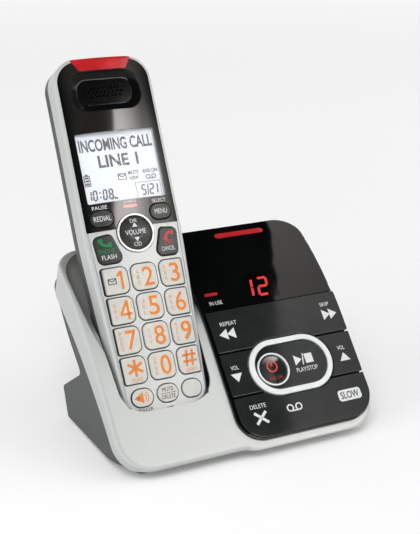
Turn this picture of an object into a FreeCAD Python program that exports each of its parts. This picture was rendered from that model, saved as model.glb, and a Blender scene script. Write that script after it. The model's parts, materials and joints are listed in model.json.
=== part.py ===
import FreeCAD, Part
import math
import os
from FreeCAD import Placement, Rotation, Vector

# Cordless telephone with an answering machine in its base. Lengths are millimetres, angles are degrees.
# X runs to the right, Y to the back and Z up, from the middle of the footprint on the table.

# Deck: the sloping face of the base, flat below the bend and curving back above it.
# Places on it are given as (x, along the slope, height over it).
base_width = 138.0
deck_lean = 47.6
deck_y = -27.5
deck_z = 42.6
deck_bottom = -48.0
deck_top = 76.5
bend_start = 8.0
bend_radius = 160.0
panel_skirt = 3.0
deck_corner = 17.0
deck_top_corner = 14.0
deck_edge = 2.2
base_wall = 2.2
housing_step = 1.6
parting_low = 8.4
parting_middle = 13.0
parting_high = 18.0
parting_along = 10.0

# Rear of the base
base_thickness = 26.0
seat_clearance = 0.15
base_top_thickness = 20.0
rear_upper_along = 62.0
rear_upper_depth = 21.0
rear_lower_along = 40.0
rear_lower_depth = 26.6
foot_top_y = 28.5
foot_top_z = 16.0
foot_heel_y = 22.6
foot_notch = 13.0
parting_gap = 0.05
underside_back = 0.8
underside_front = 5.0
underside_front_y = -57.0
pad_recess = 0.8
pad_length = 11.0
pad_width = 7.0
pad_x = 52.5
pad_front_y = -45.0
pad_rear_y = 14.0
post_radius = 3.0
base_board_height = -13.5
board_low = -30.0
board_high = 44.0
base_board_thickness = 1.6
chip_size = 14.0
chip_height = 1.8
chips_at = [(8.0, -28.0), (34.0, -6.0)]
screw_head = 2.6
screw_boss = 4.2
screw_boss_top = 8.5
screw_sink = 0.9
screw_height = 2.1
screw_slot = 0.8
base_screws_at = [(-30.0, -30.0), (30.0, -36.0), (-34.0, 14.0), (34.0, 14.0)]
jack_z = 8.2
jack_depth = 11.0
jack_height = 10.0
power_x = -46.0
power_bore = 5.6
power_pin = 2.0
power_body = 9.0
line_x = -22.0
line_width = 9.8
line_height = 6.6
line_body = 13.0
speaker_from_side = 35.0
speaker_along = 28.5
speaker_radius = 14.0
speaker_slots = 9
speaker_pitch = 2.5
contact_spread = 11.0
contact_height = -14.2
contact_width = 2.4
contact_length = 3.0
contact_gap = 0.05

# Control panel and its buttons
panel_left = -7.5
panel_right_gap = 0.6
panel_bottom = -46.2
panel_top = 75.0
panel_rise = 1.5
panel_depth = 2.6
panel_gap = 0.12
light_gap = 0.05
light_depth = 1.0
seat_floor = 1.6
panel_border = 2.0
panel_corner = 13.5
panel_inner_corner = 4.0
row_top = 23.0
row_pitch = 23.0
row_groove = 0.8
button_rise = 1.7
button_thickness = 1.6
button_travel = 0.8
button_gap = 0.3
rocker_pivot_x = 30.7
oval_x = 31.0
oval_along = -11.9
oval_length = 46.4
oval_width = 29.2
oval_band = 2.8
oval_rise = 2.3
round_x = 20.3
round_along = -12.8
round_radius = 8.6
round_band = 0.8
display_x = 30.6
display_along = 32.8
display_width = 16.0
display_height = 15.0
light_bar_x = 32.9
light_bar_along = 68.2
light_bar_length = 28.6
light_bar_width = 3.2
in_use_x = 1.4
in_use_along = 32.3
in_use_length = 7.4
in_use_width = 1.7

# Handset: places on it are (u across, v up from its foot, height over the face).
handset_x = -37.0
handset_lean = 62.8
handset_foot_along = -23.7
handset_foot_depth = 3.4
handset_length = 179.0
handset_width = 51.2
handset_foot_width = 41.8
handset_waist = 85.0
handset_thickness = 25.0
handset_split = 12.0
handset_wall = 2.2
crown_radius = 130.0
crown_rise = 1.0
head_corner = 12.5
foot_corner = 13.5
front_edge = 1.8
back_edge = 9.0
handset_lift = 110.0
handset_screw_head = 2.3
handset_screw_slot = 0.7
handset_post_radius = 3.2
handset_screws_at = [(-12.0, 158.0), (12.0, 158.0)]

# Cradle
seat_gap = 0.6
cradle_wall = 1.8
rim_bottom = -20.1
rim_left = -60.2
rim_right = -13.6
rim_flare = 2.4
rim_corner = 12.5
rim_depth = 4.0
rim_reach = 50.0
scoop_start = 1.0
scoop_depth = 9.0
scoop_left_rim = 1.2
scoop_right = -8.4
scoop_top_rim = 1.7
scoop_corner = 18.0
scoop_round = 15.0

# Face of the handset. A step is the distance up the face from the middle of the navigation key.
face_rim = 1.8
face_step = 3.1
face_thickness = 1.25
face_proud = 0.1
display_half = 20.6
display_step = 16.7
display_margin = 10.7
window_thickness = 1.2
window_ledge = 0.3
key_pitch_x = 14.85
key_pitch_v = 14.5
key_width = 12.7
key_height = 12.7
key_first_v = 24.7
key_outer_foot = 19.9
key_outer_lean = 0.023
key_round = 3.2
key_square = 0.9
key_gap = 0.55
key_stand = 0.9
key_edge = 0.5
key_floor = -4.2
low_key_v = 11.2
low_key_pitch = 12.9
low_key_width = 10.4
low_key_height = 8.4
soft_key_x = 15.3
soft_key_step = 9.0
soft_key_width = 11.4
soft_key_height = 7.8
nav_key_step = 21.7
nav_ring_radius = 9.45
nav_ring_band = 0.85
nav_ring_gap = 0.4
nav_gap = 0.3
nav_ball = 28.0
nav_bulge = 0.2
nav_sink = 0.2
nav_dish = 0.3
call_key_x = 15.7
call_key_step = -6.3
call_key_clear = 1.5
call_key_outer = 6.0
call_key_inner = 2.8
call_key_toe = 7.5
call_key_low = 6.7
call_key_high = 6.4
call_key_slant = 1.2
call_key_corner = 3.0
ear_from_top = 17.2
ear_half_length = 18.3
ear_half_width = 9.8
ear_corner = 8.2
ear_depth = 2.2
ear_wall = 1.1
ear_pad_length = 21.0
ear_pad_width = 9.6
ear_pad_rise = 0.35
ear_hole = 1.2
earpiece_radius = 9.5
ear_pitch_u = 2.1
ear_pitch_v = 2.05
lens_from_top = 6.6
lens_low_half = 12.2
lens_high_half = 17.0
lens_depth = 9.0
lens_gap = 0.08
charge_light_step = 13.4
charge_light_length = 7.2
charge_light_width = 1.6
mouth_v = 4.2
mouth_length = 4.0
mouth_width = 1.0
microphone_radius = 1.7
seam_foot = 19.9
seam_width = 0.5
lcd_top = -2.6
back_slot_v = 92.0
back_slot_length = 16.0
back_slot_width = 1.4
back_slot_pitch = 3.0
board_top = -6.6
board_thickness = 1.2
board_from_top = 14.0
membrane_thickness = 1.2
membrane_half = 19.0
membrane_margin = 4.0
membrane_corner = 10.0

# Battery bay and cover in the back of the handset
cover_low = 14.5
cover_high = 70.0
cover_half = 13.2
cover_thickness = 1.8
cover_travel = 4.0
cover_gap = 0.15
grip_length = 12.0
grip_width = 1.0
grip_pitch = 2.2
bay_half = 11.0
bay_margin = 4.0
bay_wall = 1.4
bay_depth = 10.8

deck_place = Placement(Vector(0, deck_y, deck_z), Rotation(Vector(1, 0, 0), deck_lean))
handset_foot = deck_place.multVec(Vector(handset_x, handset_foot_along, -handset_foot_depth))
handset_place = Placement(handset_foot, Rotation(Vector(1, 0, 0), handset_lean))
half_width = base_width / 2
panel_right = half_width - panel_right_gap
speaker_x = half_width - speaker_from_side
nav_v = key_first_v + 3 * key_pitch_v + nav_key_step
call_key_v = nav_v + call_key_step
soft_key_v = nav_v + soft_key_step
charge_light_v = nav_v + charge_light_step
face_bottom = nav_v + face_step
face_top = handset_length - face_rim
face_half = handset_width / 2 - face_rim
ear_v = handset_length - ear_from_top
display_low = nav_v + display_step
display_high = ear_v - ear_half_width - display_margin
lens_low = handset_length - lens_from_top


# Drawing

def rounded(corners):
    """Closed wire through corner points, each given with the radius that rounds it."""
    points = [point for point, _ in corners]
    arcs = []
    for i, (point, radius) in enumerate(corners):
        back = (points[i - 1] - point).normalize()
        ahead = (points[(i + 1) % len(points)] - point).normalize()
        half = back.getAngle(ahead) / 2
        reach = radius / math.tan(half)
        middle = point + (back + ahead).normalize() * (radius / math.sin(half) - radius)
        arcs.append((point + back * reach, middle, point + ahead * reach, radius))
    edges = []
    for i, (start, middle, end, radius) in enumerate(arcs):
        if radius > 0:
            edges.append(Part.Arc(start, middle, end).toShape())
        following = arcs[(i + 1) % len(arcs)][0]
        if (following - end).Length > 1e-6:
            edges.append(Part.makeLine(end, following))
    return Part.Wire(edges)


def flat(corners):
    """Rounded wire in the plane of a face, from (across, up, radius) corners."""
    return rounded([(Vector(x, y, 0), radius) for x, y, radius in corners])


def side(corners):
    """Rounded wire in the plane X = 0, from (y, z, radius) corners."""
    return rounded([(Vector(0, y, z), radius) for y, z, radius in corners])


def panel_shape(left, bottom, right, top, low_left, low_right, high_right, high_left):
    """Rectangle with a radius of its own at each corner."""
    return flat([(left, bottom, low_left), (right, bottom, low_right),
                 (right, top, high_right), (left, top, high_left)])


def slot_shape(x, y, length, width):
    """Round-ended slot centred on a point."""
    end = width / 2 - 0.001
    return panel_shape(x - length / 2, y - width / 2, x + length / 2, y + width / 2, end, end, end, end)


def prism(wire, low, high):
    """Solid of a flat outline between two heights."""
    face = Part.Face(wire)
    face.translate(Vector(0, 0, low))
    return face.extrude(Vector(0, 0, high - low))


def wall_of(wire, left, right):
    """Solid of a side outline between two X positions."""
    face = Part.Face(wire)
    face.translate(Vector(left, 0, 0))
    return face.extrude(Vector(right - left, 0, 0))


def disc(x, y, radius, low, high):
    """Upright cylinder."""
    return Part.makeCylinder(radius, high - low, Vector(x, y, low))


def placed(shape, placement):
    """Copy of a shape moved from its own frame into the frame of the whole."""
    moved = shape.copy()
    moved.Placement = placement.multiply(shape.Placement)
    return moved


def join(shapes):
    """One solid out of several that touch."""
    return shapes[0].multiFuse(shapes[1:]).removeSplitter()


def edges_where(shape, test):
    """Edges of a shape whose ends and middle all pass a test."""
    chosen = []
    for edge in shape.Edges:
        middle = edge.valueAt((edge.FirstParameter + edge.LastParameter) / 2)
        if all(test(point) for point in [vertex.Point for vertex in edge.Vertexes] + [middle]):
            chosen.append(edge)
    return chosen


# Deck

def deck_point(along, height, x=0.0):
    """Point at a distance along the deck and a height over it, in the deck's own frame."""
    if along <= bend_start:
        return Vector(x, along, height)
    turn = (along - bend_start) / bend_radius
    reach = bend_radius + height
    return Vector(x, bend_start + reach * math.sin(turn), reach * math.cos(turn) - bend_radius)


def deck_height(point):
    """Height over the deck of a point in the deck's own frame."""
    if point.y <= bend_start:
        return point.z
    return math.hypot(point.y - bend_start, point.z + bend_radius) - bend_radius


def deck_run(start, stop, height):
    """Edges that follow the deck at one height over it."""
    edges = []
    if start < bend_start:
        edges.append(Part.makeLine(deck_point(start, height), deck_point(min(stop, bend_start), height)))
    if stop > bend_start:
        first = max(start, bend_start)
        middle = deck_point((first + stop) / 2, height)
        edges.append(Part.Arc(deck_point(first, height), middle, deck_point(stop, height)).toShape())
    return edges


def deck_band(start, stop, low, high, left, right):
    """Solid between two distances along the deck, two heights over it and two X positions."""
    edges = deck_run(start, stop, low) + deck_run(start, stop, high)
    edges.append(Part.makeLine(deck_point(start, low), deck_point(start, high)))
    edges.append(Part.makeLine(deck_point(stop, low), deck_point(stop, high)))
    return wall_of(Part.Wire(Part.__sortEdges__(edges)), left, right)


def deck_spot(x, along):
    """Frame that lies on the deck at a point, with its own Z standing out of the deck."""
    turn = max(0.0, math.degrees((along - bend_start) / bend_radius))
    return Placement(deck_point(along, 0, x), Rotation(Vector(1, 0, 0), -turn))


def deck_outline(inset):
    """Outline of the base seen square to the deck, with the skirt that drops under the control panel."""
    left = -half_width + inset
    right = half_width - inset
    low = deck_bottom + inset
    lower = low - panel_skirt
    step = panel_left + 5.0
    round_step = 8.0
    return flat([(left, low, deck_corner - inset), (step - 3.0, low, round_step),
                 (step + 2.0, lower, round_step), (right, lower, deck_corner - inset),
                 (right, 2 * deck_top, 0), (left, 2 * deck_top, 0)])


def upright_edges(shape, along):
    """Edges of a shape that stand square to the deck at a distance along it."""
    foot = deck_point(along, 0)
    up = deck_point(along, 1) - foot
    chosen = edges_where(shape, lambda p: Vector(0, p.y - foot.y, p.z - foot.z).cross(up).Length < 0.01)
    return [edge for edge in chosen if abs(edge.tangentAt(edge.FirstParameter).x) < 0.01]


def deck_block(inset, depth):
    """Solid block under the deck, down to a depth, in the deck's own frame."""
    reach = 2 * base_width
    block = deck_band(2 * deck_bottom, deck_top - inset, -depth, -inset, -reach, reach)
    block = block.common(prism(deck_outline(inset), -2 * depth, depth))
    return block.makeFillet(deck_top_corner - inset, upright_edges(block, deck_top - inset))


def front_space(shift):
    """Room in front of the parting line between the two housings, in the deck's own frame."""
    arc = Part.Arc(deck_point(1.3 * deck_bottom, shift - parting_low),
                   deck_point(parting_along, shift - parting_middle),
                   deck_point(1.1 * deck_top, shift - parting_high))
    ends = [arc.toShape().Vertexes[0].Point, arc.toShape().Vertexes[-1].Point]
    far = [Vector(0, ends[0].y, base_width), Vector(0, ends[1].y, base_width)]
    edges = [arc.toShape(), Part.makeLine(ends[0], far[0]), Part.makeLine(far[0], far[1]),
             Part.makeLine(far[1], ends[1])]
    return wall_of(Part.Wire(Part.__sortEdges__(edges)), -base_width, base_width)


def under_space(lift):
    """Room under the base's sloping underside, raised by a lift."""
    slope = (underside_back - underside_front) / (foot_heel_y - underside_front_y)
    front, back = -base_width, base_width
    front_z = underside_front + slope * (front - underside_front_y) + lift
    back_z = underside_front + slope * (back - underside_front_y) + lift
    outline = side([(front, -base_width, 0), (back, -base_width, 0),
                    (back, back_z, 0), (front, front_z, 0)])
    return wall_of(outline, -base_width, base_width)


# Handset shapes, in the handset's own frame

def handset_outline(grow, top_extra=0.0):
    """Outline of the handset, wider at the ear than at the foot."""
    foot = handset_foot_width / 2 + grow
    half = handset_width / 2 + grow
    top = handset_length + top_extra + grow
    return flat([(-foot, -grow, foot_corner + grow), (foot, -grow, foot_corner + grow),
                 (half, handset_waist, 3 * handset_waist), (half, top, head_corner + grow),
                 (-half, top, head_corner + grow), (-half, handset_waist, 3 * handset_waist)])


def crown(lift):
    """Long cylinder whose top is the handset's crowned face, raised by a lift."""
    radius = crown_radius + lift
    start = Vector(0, -handset_length, crown_rise - crown_radius)
    return Part.makeCylinder(radius, 4 * handset_length, start, Vector(0, 1, 0))


def crown_layer(wire, low, high):
    """Solid of a flat outline between two lifts of the crowned face."""
    return prism(wire, -handset_split, handset_split).common(crown(high)).cut(crown(low))


def handset_back(grow, top_extra=0.0):
    """Rear half of the handset's outside, with its rounded back edge."""
    depth = handset_thickness + grow
    body = prism(handset_outline(grow, top_extra), -depth, 0)
    rim = edges_where(body, lambda p: abs(p.z + depth) < 0.01)
    return body.makeFillet(back_edge + grow, rim)


def handset_front():
    """Front half of the handset's outside, crowned and with a rounded edge."""
    body = prism(handset_outline(0), -handset_split, handset_split).common(crown(0))
    rim = edges_where(body, lambda p: p.z > -handset_split + 0.01)
    rim = [edge for edge in rim if not edge.Curve.TypeId == "Part::GeomLine"
           or abs(edge.tangentAt(edge.FirstParameter).z) < 0.5]
    return body.makeFillet(front_edge, rim)


def number_key_shape(column, row, grow):
    """Outline of one number key; the outer columns are square on their outer side."""
    rise = (3 - row) * key_pitch_v
    tall = key_height / 2 + grow
    low, high = rise - tall, rise + tall
    inner, round_inner = key_width / 2 + grow, key_round + grow
    if column == 1:
        return panel_shape(-inner, key_first_v + low, inner, key_first_v + high,
                           round_inner, round_inner, round_inner, round_inner)
    side_of = column - 1
    near = key_pitch_x - inner
    square = max(key_square + grow, 0.4)
    far = [key_outer_foot + key_outer_lean * y + grow for y in (low, high)]
    corners = [(near, low, round_inner), (far[0], low, square),
               (far[1], high, square), (near, high, round_inner)]
    return flat([(side_of * x, key_first_v + y, radius) for x, y, radius in corners])


def low_key_shape(column, grow):
    """Outline of one of the three keys under the number keys."""
    x = (column - 1) * low_key_pitch
    return slot_shape(x, low_key_v, low_key_width + 2 * grow, low_key_height + 2 * grow)


def soft_key_shape(hand, grow):
    """Outline of a soft key under the display: hand is -1 for left, 1 for right."""
    return slot_shape(hand * soft_key_x, soft_key_v, soft_key_width + 2 * grow, soft_key_height + 2 * grow)


def call_key_body(hand, grow):
    """Upright block of the phone or off key, hollowed round the navigation ring."""
    outer, inner, toe = call_key_x + call_key_outer, call_key_x - call_key_inner, call_key_x - call_key_toe
    low, high = call_key_v - call_key_low, call_key_v + call_key_high
    corners = [(outer - call_key_slant, low, call_key_corner), (outer, high, call_key_corner - 0.4),
               (inner, high + 0.8, call_key_corner - 1), (toe, low, call_key_corner)]
    wire = flat([(hand * x, y, radius) for x, y, radius in corners])
    block = prism(wire.makeOffset2D(grow) if grow else wire, key_floor, handset_split)
    return block.cut(disc(0, nav_v, nav_ring_radius + call_key_clear - grow, -handset_split, handset_split))


def key_body(block):
    """Key cap: a block cut to the crowned face, standing proud, with a softened top edge."""
    cap = block.common(crown(key_stand))
    rim = edges_where(cap, lambda p: p.z > key_floor + 0.5)
    rim = [edge for edge in rim if abs(edge.tangentAt(edge.FirstParameter).z) < 0.9]
    return cap.makeFillet(key_edge, rim)


def key_block(wire):
    """Block of a key outline from its floor up."""
    return prism(wire, key_floor, handset_split)


# Base station parts

def cradle_pocket(grow):
    """Well that takes the handset's foot and back."""
    gap = seat_gap + grow
    well = handset_back(gap, handset_lift)
    front = prism(handset_outline(gap, handset_lift), -handset_split, crown_rise + gap)
    return placed(join([well, front]), handset_place)


def cradle_rim(grow):
    """Opening of the well in the deck."""
    left, right, low = rim_left - grow, rim_right + grow, rim_bottom - grow
    outline = flat([(left, low, rim_corner), (right, low, rim_corner),
                    (right + rim_flare, rim_bottom + rim_reach, 0),
                    (left - rim_flare, rim_bottom + rim_reach, 0)])
    return placed(prism(outline, -rim_depth - grow, base_width), deck_place)


def cradle_scoop(grow):
    """Dished part of the deck behind the handset, deeper towards the top."""
    left = -half_width + scoop_left_rim - grow
    right = scoop_right + grow
    end = deck_top - scoop_top_rim + grow
    start = deck_point(scoop_start, 0.5 - grow)
    stop = deck_point(end, -scoop_depth - grow)
    top = deck_point(end, base_thickness)
    outline = side([(start.y, start.z, 0), (stop.y, stop.z, 0),
                    (top.y, top.z, 0), (start.y, top.z, 0)])
    dish = wall_of(outline, left, right)
    dish = dish.makeFillet(scoop_corner + grow, upright_edges(dish, end))
    floor = Vector(0, stop.y - start.y, stop.z - start.z).normalize()
    bottom = edges_where(dish, lambda p: (p - Vector(p.x, start.y, start.z)).cross(floor).Length < 0.02)
    bottom = [edge for edge in bottom if edge.BoundBox.YMax > start.y + 1]
    return placed(dish.makeFillet(scoop_round + grow, bottom), deck_place)


def panel_outline(inset):
    """Outline of the control panel, flat in the deck's frame, up to the level where its top is cut."""
    return panel_shape(panel_left + inset, panel_bottom + inset, panel_right - inset, 2 * panel_top,
                       panel_corner - inset, panel_corner + 2 - inset, 0, 0)


def panel_layer(inset, low, high):
    """Layer of the control panel between two heights over the deck."""
    layer = deck_band(2 * panel_bottom, panel_top - inset, low, high, -base_width, base_width)
    layer = layer.common(prism(panel_outline(inset), -base_thickness, base_thickness))
    corners = upright_edges(layer, panel_top - inset)
    layer = layer.makeFillet(panel_corner - inset, [edge for edge in corners if edge.CenterOfMass.x > 0])
    corners = upright_edges(layer, panel_top - inset)
    corners = [edge for edge in corners if edge.CenterOfMass.x < panel_left + inset + 0.01]
    return layer.makeFillet(max(panel_inner_corner - inset, 0.5), corners)


def oval_shape(inset):
    """Outline of the oval round the play button."""
    return slot_shape(oval_x, oval_along, oval_length - 2 * inset, oval_width - 2 * inset)


def button_floor():
    """Height over the deck of the undersides of the buttons."""
    return button_rise - button_thickness


def tray_floor():
    """Height over the deck of the tray that the buttons sink into."""
    return button_floor() - button_travel - button_gap


def row_limits(row):
    """Low and high edge of a row of buttons: row 0 is right under the display."""
    high = row_top - row * row_pitch - row_groove / 2
    return high - row_pitch + row_groove, high


def row_shape(row, grow=0.0):
    """Outline of a row of buttons across the panel."""
    low, high = row_limits(row)
    last = row == 2
    if last:
        low = panel_bottom + 0.9
    corner = panel_corner - 1.4
    return panel_shape(panel_left + panel_border - grow, low - grow, half_width + grow, high + grow,
                       corner if last else 0.8, corner + 2 if last else 0.8, 0.8, 0.8)


def row_solid(row):
    """Slab of a row of buttons, hollowed round the oval."""
    slab = prism(row_shape(row), -base_thickness, base_thickness)
    slab = slab.common(deck_band(2 * deck_bottom, deck_top, button_floor(), button_rise,
                                 -base_width, base_width))
    return slab.cut(prism(oval_shape(-button_gap - 0.2), -base_thickness, base_thickness))


def soften(shape, height, radius):
    """Round the edges of a button's top face."""
    rim = edges_where(shape, lambda p: abs(deck_height(p) - height) < 0.01)
    return shape.makeFillet(radius, rim)


def rocker_rib(row):
    """Ridge on the tray that a row's rocker tips over."""
    low, high = row_limits(row)
    start = Vector(rocker_pivot_x, low + 3, tray_floor())
    return Part.makeCylinder(button_floor() - tray_floor() - 0.05, high - low - 6, start, Vector(0, 1, 0))


def base_top_housing():
    """Silver shell with the deck, the cradle and the seat of the control panel."""
    deep = 2 * base_thickness
    outer = deck_block(0, deep)
    rim = edges_where(outer, lambda p: abs(deck_height(p)) < 0.01)
    outer = outer.makeFillet(deck_edge, rim)
    inner = deck_block(base_wall, deep + 5)
    skin = outer.cut(inner).common(front_space(0))
    floor = panel_layer(-base_wall, -panel_depth - seat_floor, -base_wall / 2)
    posts = [disc(x, along, post_radius, base_board_height, -panel_depth) for x, along in board_posts()]
    skin = join([skin, floor.common(outer)] + posts)
    shell = placed(skin, deck_place)
    block = placed(outer, deck_place)
    cradle = join([cradle_pocket(cradle_wall), cradle_scoop(cradle_wall)]).common(block)
    shell = join([shell, cradle])
    shell = shell.cut(join([cradle_pocket(0), cradle_rim(0), cradle_scoop(0)]))
    straight = panel_corner + 3.0
    side_cut = deck_band(panel_bottom + straight, panel_top - straight, -panel_depth, base_thickness,
                         panel_right - 1, base_width)
    shell = shell.cut(placed(panel_layer(-panel_gap, -panel_depth, base_thickness), deck_place))
    shell = shell.cut(placed(side_cut, deck_place))
    shell = shell.cut(placed(prism(row_shape(2, button_gap), tray_floor(), base_thickness), deck_place))
    for pad in foot_pads(pad_recess + 0.1, seat_clearance):
        shell = shell.cut(pad)
    for u, height in contact_places():
        shell = shell.cut(contact_block(u, height, -10, 0, seat_clearance))
    return shell.cut(under_space(0))


def board_posts():
    """Places of the posts that carry the base's circuit board."""
    left, right, low, high = panel_left + 9, half_width - 10, board_low + 5, board_high - 6
    return [(left, low), (right, low), (left, high), (right, high)]


def rear_profile(inset):
    """Side outline of the rear housing, reaching past the parting line in front."""
    points = [(deck_point(deck_top - 1, 0), 0), (deck_point(deck_top - 1, -base_top_thickness), 3.0),
              (deck_point(rear_upper_along, -rear_upper_depth), 40.0),
              (deck_point(rear_lower_along, -rear_lower_depth), 60.0)]
    place = deck_place
    rear = [(place.multVec(point).y, place.multVec(point).z, radius) for point, radius in points]
    notch = place.multVec(deck_point(foot_notch, -base_thickness))
    slope = (underside_back - underside_front) / (foot_heel_y - underside_front_y)
    toe_y = 1.3 * underside_front_y
    toe_z = underside_front + slope * (toe_y - underside_front_y)
    corners = rear + [(notch.y, notch.z, 2.5), (foot_top_y, foot_top_z, 2.0),
                      (foot_heel_y, underside_back, 1.0), (toe_y, toe_z, 0), (toe_y, base_width / 2, 0)]
    wire = side(corners)
    return wire.makeOffset2D(-inset) if inset else wire


def rear_block(inset):
    """Solid rear housing before its front is cut off along the parting line."""
    edge = half_width - housing_step - inset
    block = wall_of(rear_profile(inset), -edge, edge)
    drop = deck_bottom + housing_step + inset
    corner = deck_corner - housing_step - inset
    top = deck_point(deck_top - housing_step - inset, 0).y
    outline = flat([(-edge, drop, corner), (edge, drop, corner), (edge, top, corner), (-edge, top, corner)])
    return block.common(placed(prism(outline, -base_width, base_width), deck_place))


def base_bottom_housing():
    """Dark rear housing with the foot wedge, its sockets, speaker slots and screw wells."""
    shell = rear_block(0).cut(rear_block(base_wall)).cut(placed(front_space(-parting_gap), deck_place))
    for x, y in base_screws_at:
        shell = shell.fuse(disc(x, y, screw_boss, 1.0, screw_boss_top).common(rear_block(0.5)))
    for pad in foot_pads(pad_recess + 0.1, seat_clearance):
        shell = shell.cut(pad)
    for x, y in base_screws_at:
        shell = shell.cut(disc(x, y, screw_head + 0.2, -1.0, underside_front + 1.0))
    shell = shell.cut(placed(power_hole(seat_clearance), jack_place(power_x)))
    shell = shell.cut(placed(line_hole(seat_clearance), jack_place(line_x)))
    slots = [speaker_slot(i) for i in range(speaker_slots)]
    shell = shell.cut(slots[0].multiFuse(slots[1:]))
    return shell.cut(under_space(0)).removeSplitter()


def foot_pads(rise, grow):
    """Rubber pads under the base, each from the table up to a height over the underside."""
    pads = []
    for x, y in [(x, y) for x in (-pad_x, pad_x) for y in (pad_front_y, pad_rear_y)]:
        outline = slot_shape(x, y, pad_length + 2 * grow, pad_width + 2 * grow)
        pads.append(prism(outline, 0, base_width / 2).common(under_space(rise)))
    return pads


def jack_place(x):
    """Frame at the inside of the foot's rear wall, with its own Z pointing out to the back."""
    return Placement(Vector(x, foot_heel_y, jack_z), Rotation(Vector(1, 0, 0), -90))


def power_hole(grow):
    """Round hole of the power socket."""
    return disc(0, 0, power_bore / 2 + grow, -jack_depth, jack_depth)


def line_hole(grow):
    """Rectangular hole of the line socket with the notch for the plug's latch."""
    wide, tall = line_width / 2 + grow, line_height / 2 + grow
    mouth = panel_shape(-wide, -tall, wide, tall, 0.4, 0.4, 0.4, 0.4)
    latch = panel_shape(-2.0 - grow, tall - 0.5, 2.0 + grow, tall + 1.2, 0.3, 0.3, 0.3, 0.3)
    return prism(mouth, -jack_depth, jack_depth).fuse(prism(latch, -jack_depth, jack_depth))


def jack_body(x, wide, hole):
    """Socket block seated against the inside of the foot's rear wall, with its hole."""
    outline = panel_shape(-wide / 2, -jack_height / 2, wide / 2, jack_height / 2, 0.5, 0.5, 0.5, 0.5)
    block = placed(prism(outline, -jack_depth - 2.0, jack_depth), jack_place(x))
    return block.common(rear_block(base_wall)).cut(placed(hole, jack_place(x)))


def power_jack():
    """Power socket with its centre pin."""
    body = jack_body(power_x, power_body, power_hole(0))
    pin = placed(disc(0, 0, power_pin / 2, -jack_depth - 1.0, 0), jack_place(power_x))
    return join([body, pin])


def line_jack():
    """Telephone line socket."""
    return jack_body(line_x, line_body, line_hole(0))


def speaker_place():
    """Frame on the rear wall under the control panel, with its own Z pointing out of the back."""
    back = Placement(Vector(0, 0, -base_thickness), Rotation(Vector(0, 1, 0), 180))
    return deck_place.multiply(deck_spot(speaker_x, speaker_along)).multiply(back)


def speaker_slot(i):
    """One of the slots in front of the base's speaker."""
    y = (i - (speaker_slots - 1) / 2) * speaker_pitch
    length = 2 * math.sqrt((speaker_radius - 3.0) ** 2 - y * y)
    return placed(prism(slot_shape(0, y, length, 1.3), -3.5, 3.5), speaker_place())


def base_speaker():
    """Loudspeaker behind the slots: frame, cone pot and magnet."""
    rim = disc(0, 0, speaker_radius, -base_wall - 2.0, -base_wall)
    pot = Part.makeCone(speaker_radius * 0.45, speaker_radius * 0.9, 3.5, Vector(0, 0, -base_wall - 5.5))
    bowl = Part.makeCone(speaker_radius * 0.4, speaker_radius * 0.8, 3.0, Vector(0, 0, -base_wall - 3.0))
    return placed(join([rim, pot]).cut(bowl), speaker_place())


def base_circuit_board():
    """Circuit board on the posts behind the control panel."""
    left, right = panel_left + 2.0, half_width - base_wall - 2.5
    top = base_board_height
    under = top - base_board_thickness
    board = prism(panel_shape(left, board_low, right, board_high, 2.0, 2.0, 2.0, 2.0), under, top)
    chips = []
    for x, y in chips_at:
        outline = panel_shape(x, y, x + chip_size, y + chip_size, 0.4, 0.4, 0.4, 0.4)
        chips.append(prism(outline, under - chip_height, under))
    return placed(join([board] + chips), deck_place)


def contact_places():
    """Places of the charging contacts on the handset's foot: (u, height over the face)."""
    return [(-contact_spread / 2, contact_height), (contact_spread / 2, contact_height)]


def contact_block(u, height, low, high, grow):
    """Upright bar at a charging contact, between two places along the handset."""
    wide, tall = contact_width + 2 * grow, contact_length + 2 * grow
    bar = Part.makeBox(wide, high - low, tall, Vector(u - wide / 2, low, height - tall / 2))
    return placed(bar, handset_place)


def charging_contacts():
    """Two sprung contacts that stand in the floor of the well."""
    low = -seat_gap - cradle_wall - 1.5
    bars = [contact_block(u, height, low, -contact_gap, 0) for u, height in contact_places()]
    feet = [contact_block(u, height, low, low + 1.0, 1.0) for u, height in contact_places()]
    return Part.makeCompound([join([bar, foot]) for bar, foot in zip(bars, feet)])


def cross_slot(x, y, reach, width, low):
    """Cross cut into a screw's head."""
    bars = [Part.makeBox(2 * a, 2 * b, width, Vector(x - a, y - b, low))
            for a, b in [(reach, width / 2), (width / 2, reach)]]
    return join(bars)


def base_screws():
    """Screws in the underside that hold the housings together."""
    screws = []
    for x, y in base_screws_at:
        low = underside_front + screw_sink - screw_height
        head = disc(x, y, screw_head, low, low + screw_height)
        screws.append(head.cut(cross_slot(x, y, screw_head, screw_slot, low)))
    return Part.makeCompound(screws)


# Control panel parts

def display_pocket(grow):
    """Window of the message counter in the panel."""
    outline = panel_shape(-display_width / 2 - grow, -display_height / 2 - grow,
                          display_width / 2 + grow, display_height / 2 + grow, 0.8, 0.8, 0.8, 0.8)
    return placed(prism(outline, -panel_depth + 0.8, base_thickness), deck_spot(display_x, display_along))


def message_bar(grow, high):
    """Round-ended bar of the new-message light, up to a height over the deck."""
    outline = slot_shape(0, 0, light_bar_length + 2 * grow, light_bar_width + 2 * grow)
    return placed(prism(outline, -light_depth, high), deck_spot(light_bar_x, light_bar_along))


def in_use_bar(grow, high):
    """Round-ended bar of the in-use light, up to a height over the deck."""
    outline = slot_shape(0, 0, in_use_length + 2 * grow, in_use_width + 2 * grow)
    return placed(prism(outline, -light_depth, high), deck_spot(in_use_x, in_use_along))


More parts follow.
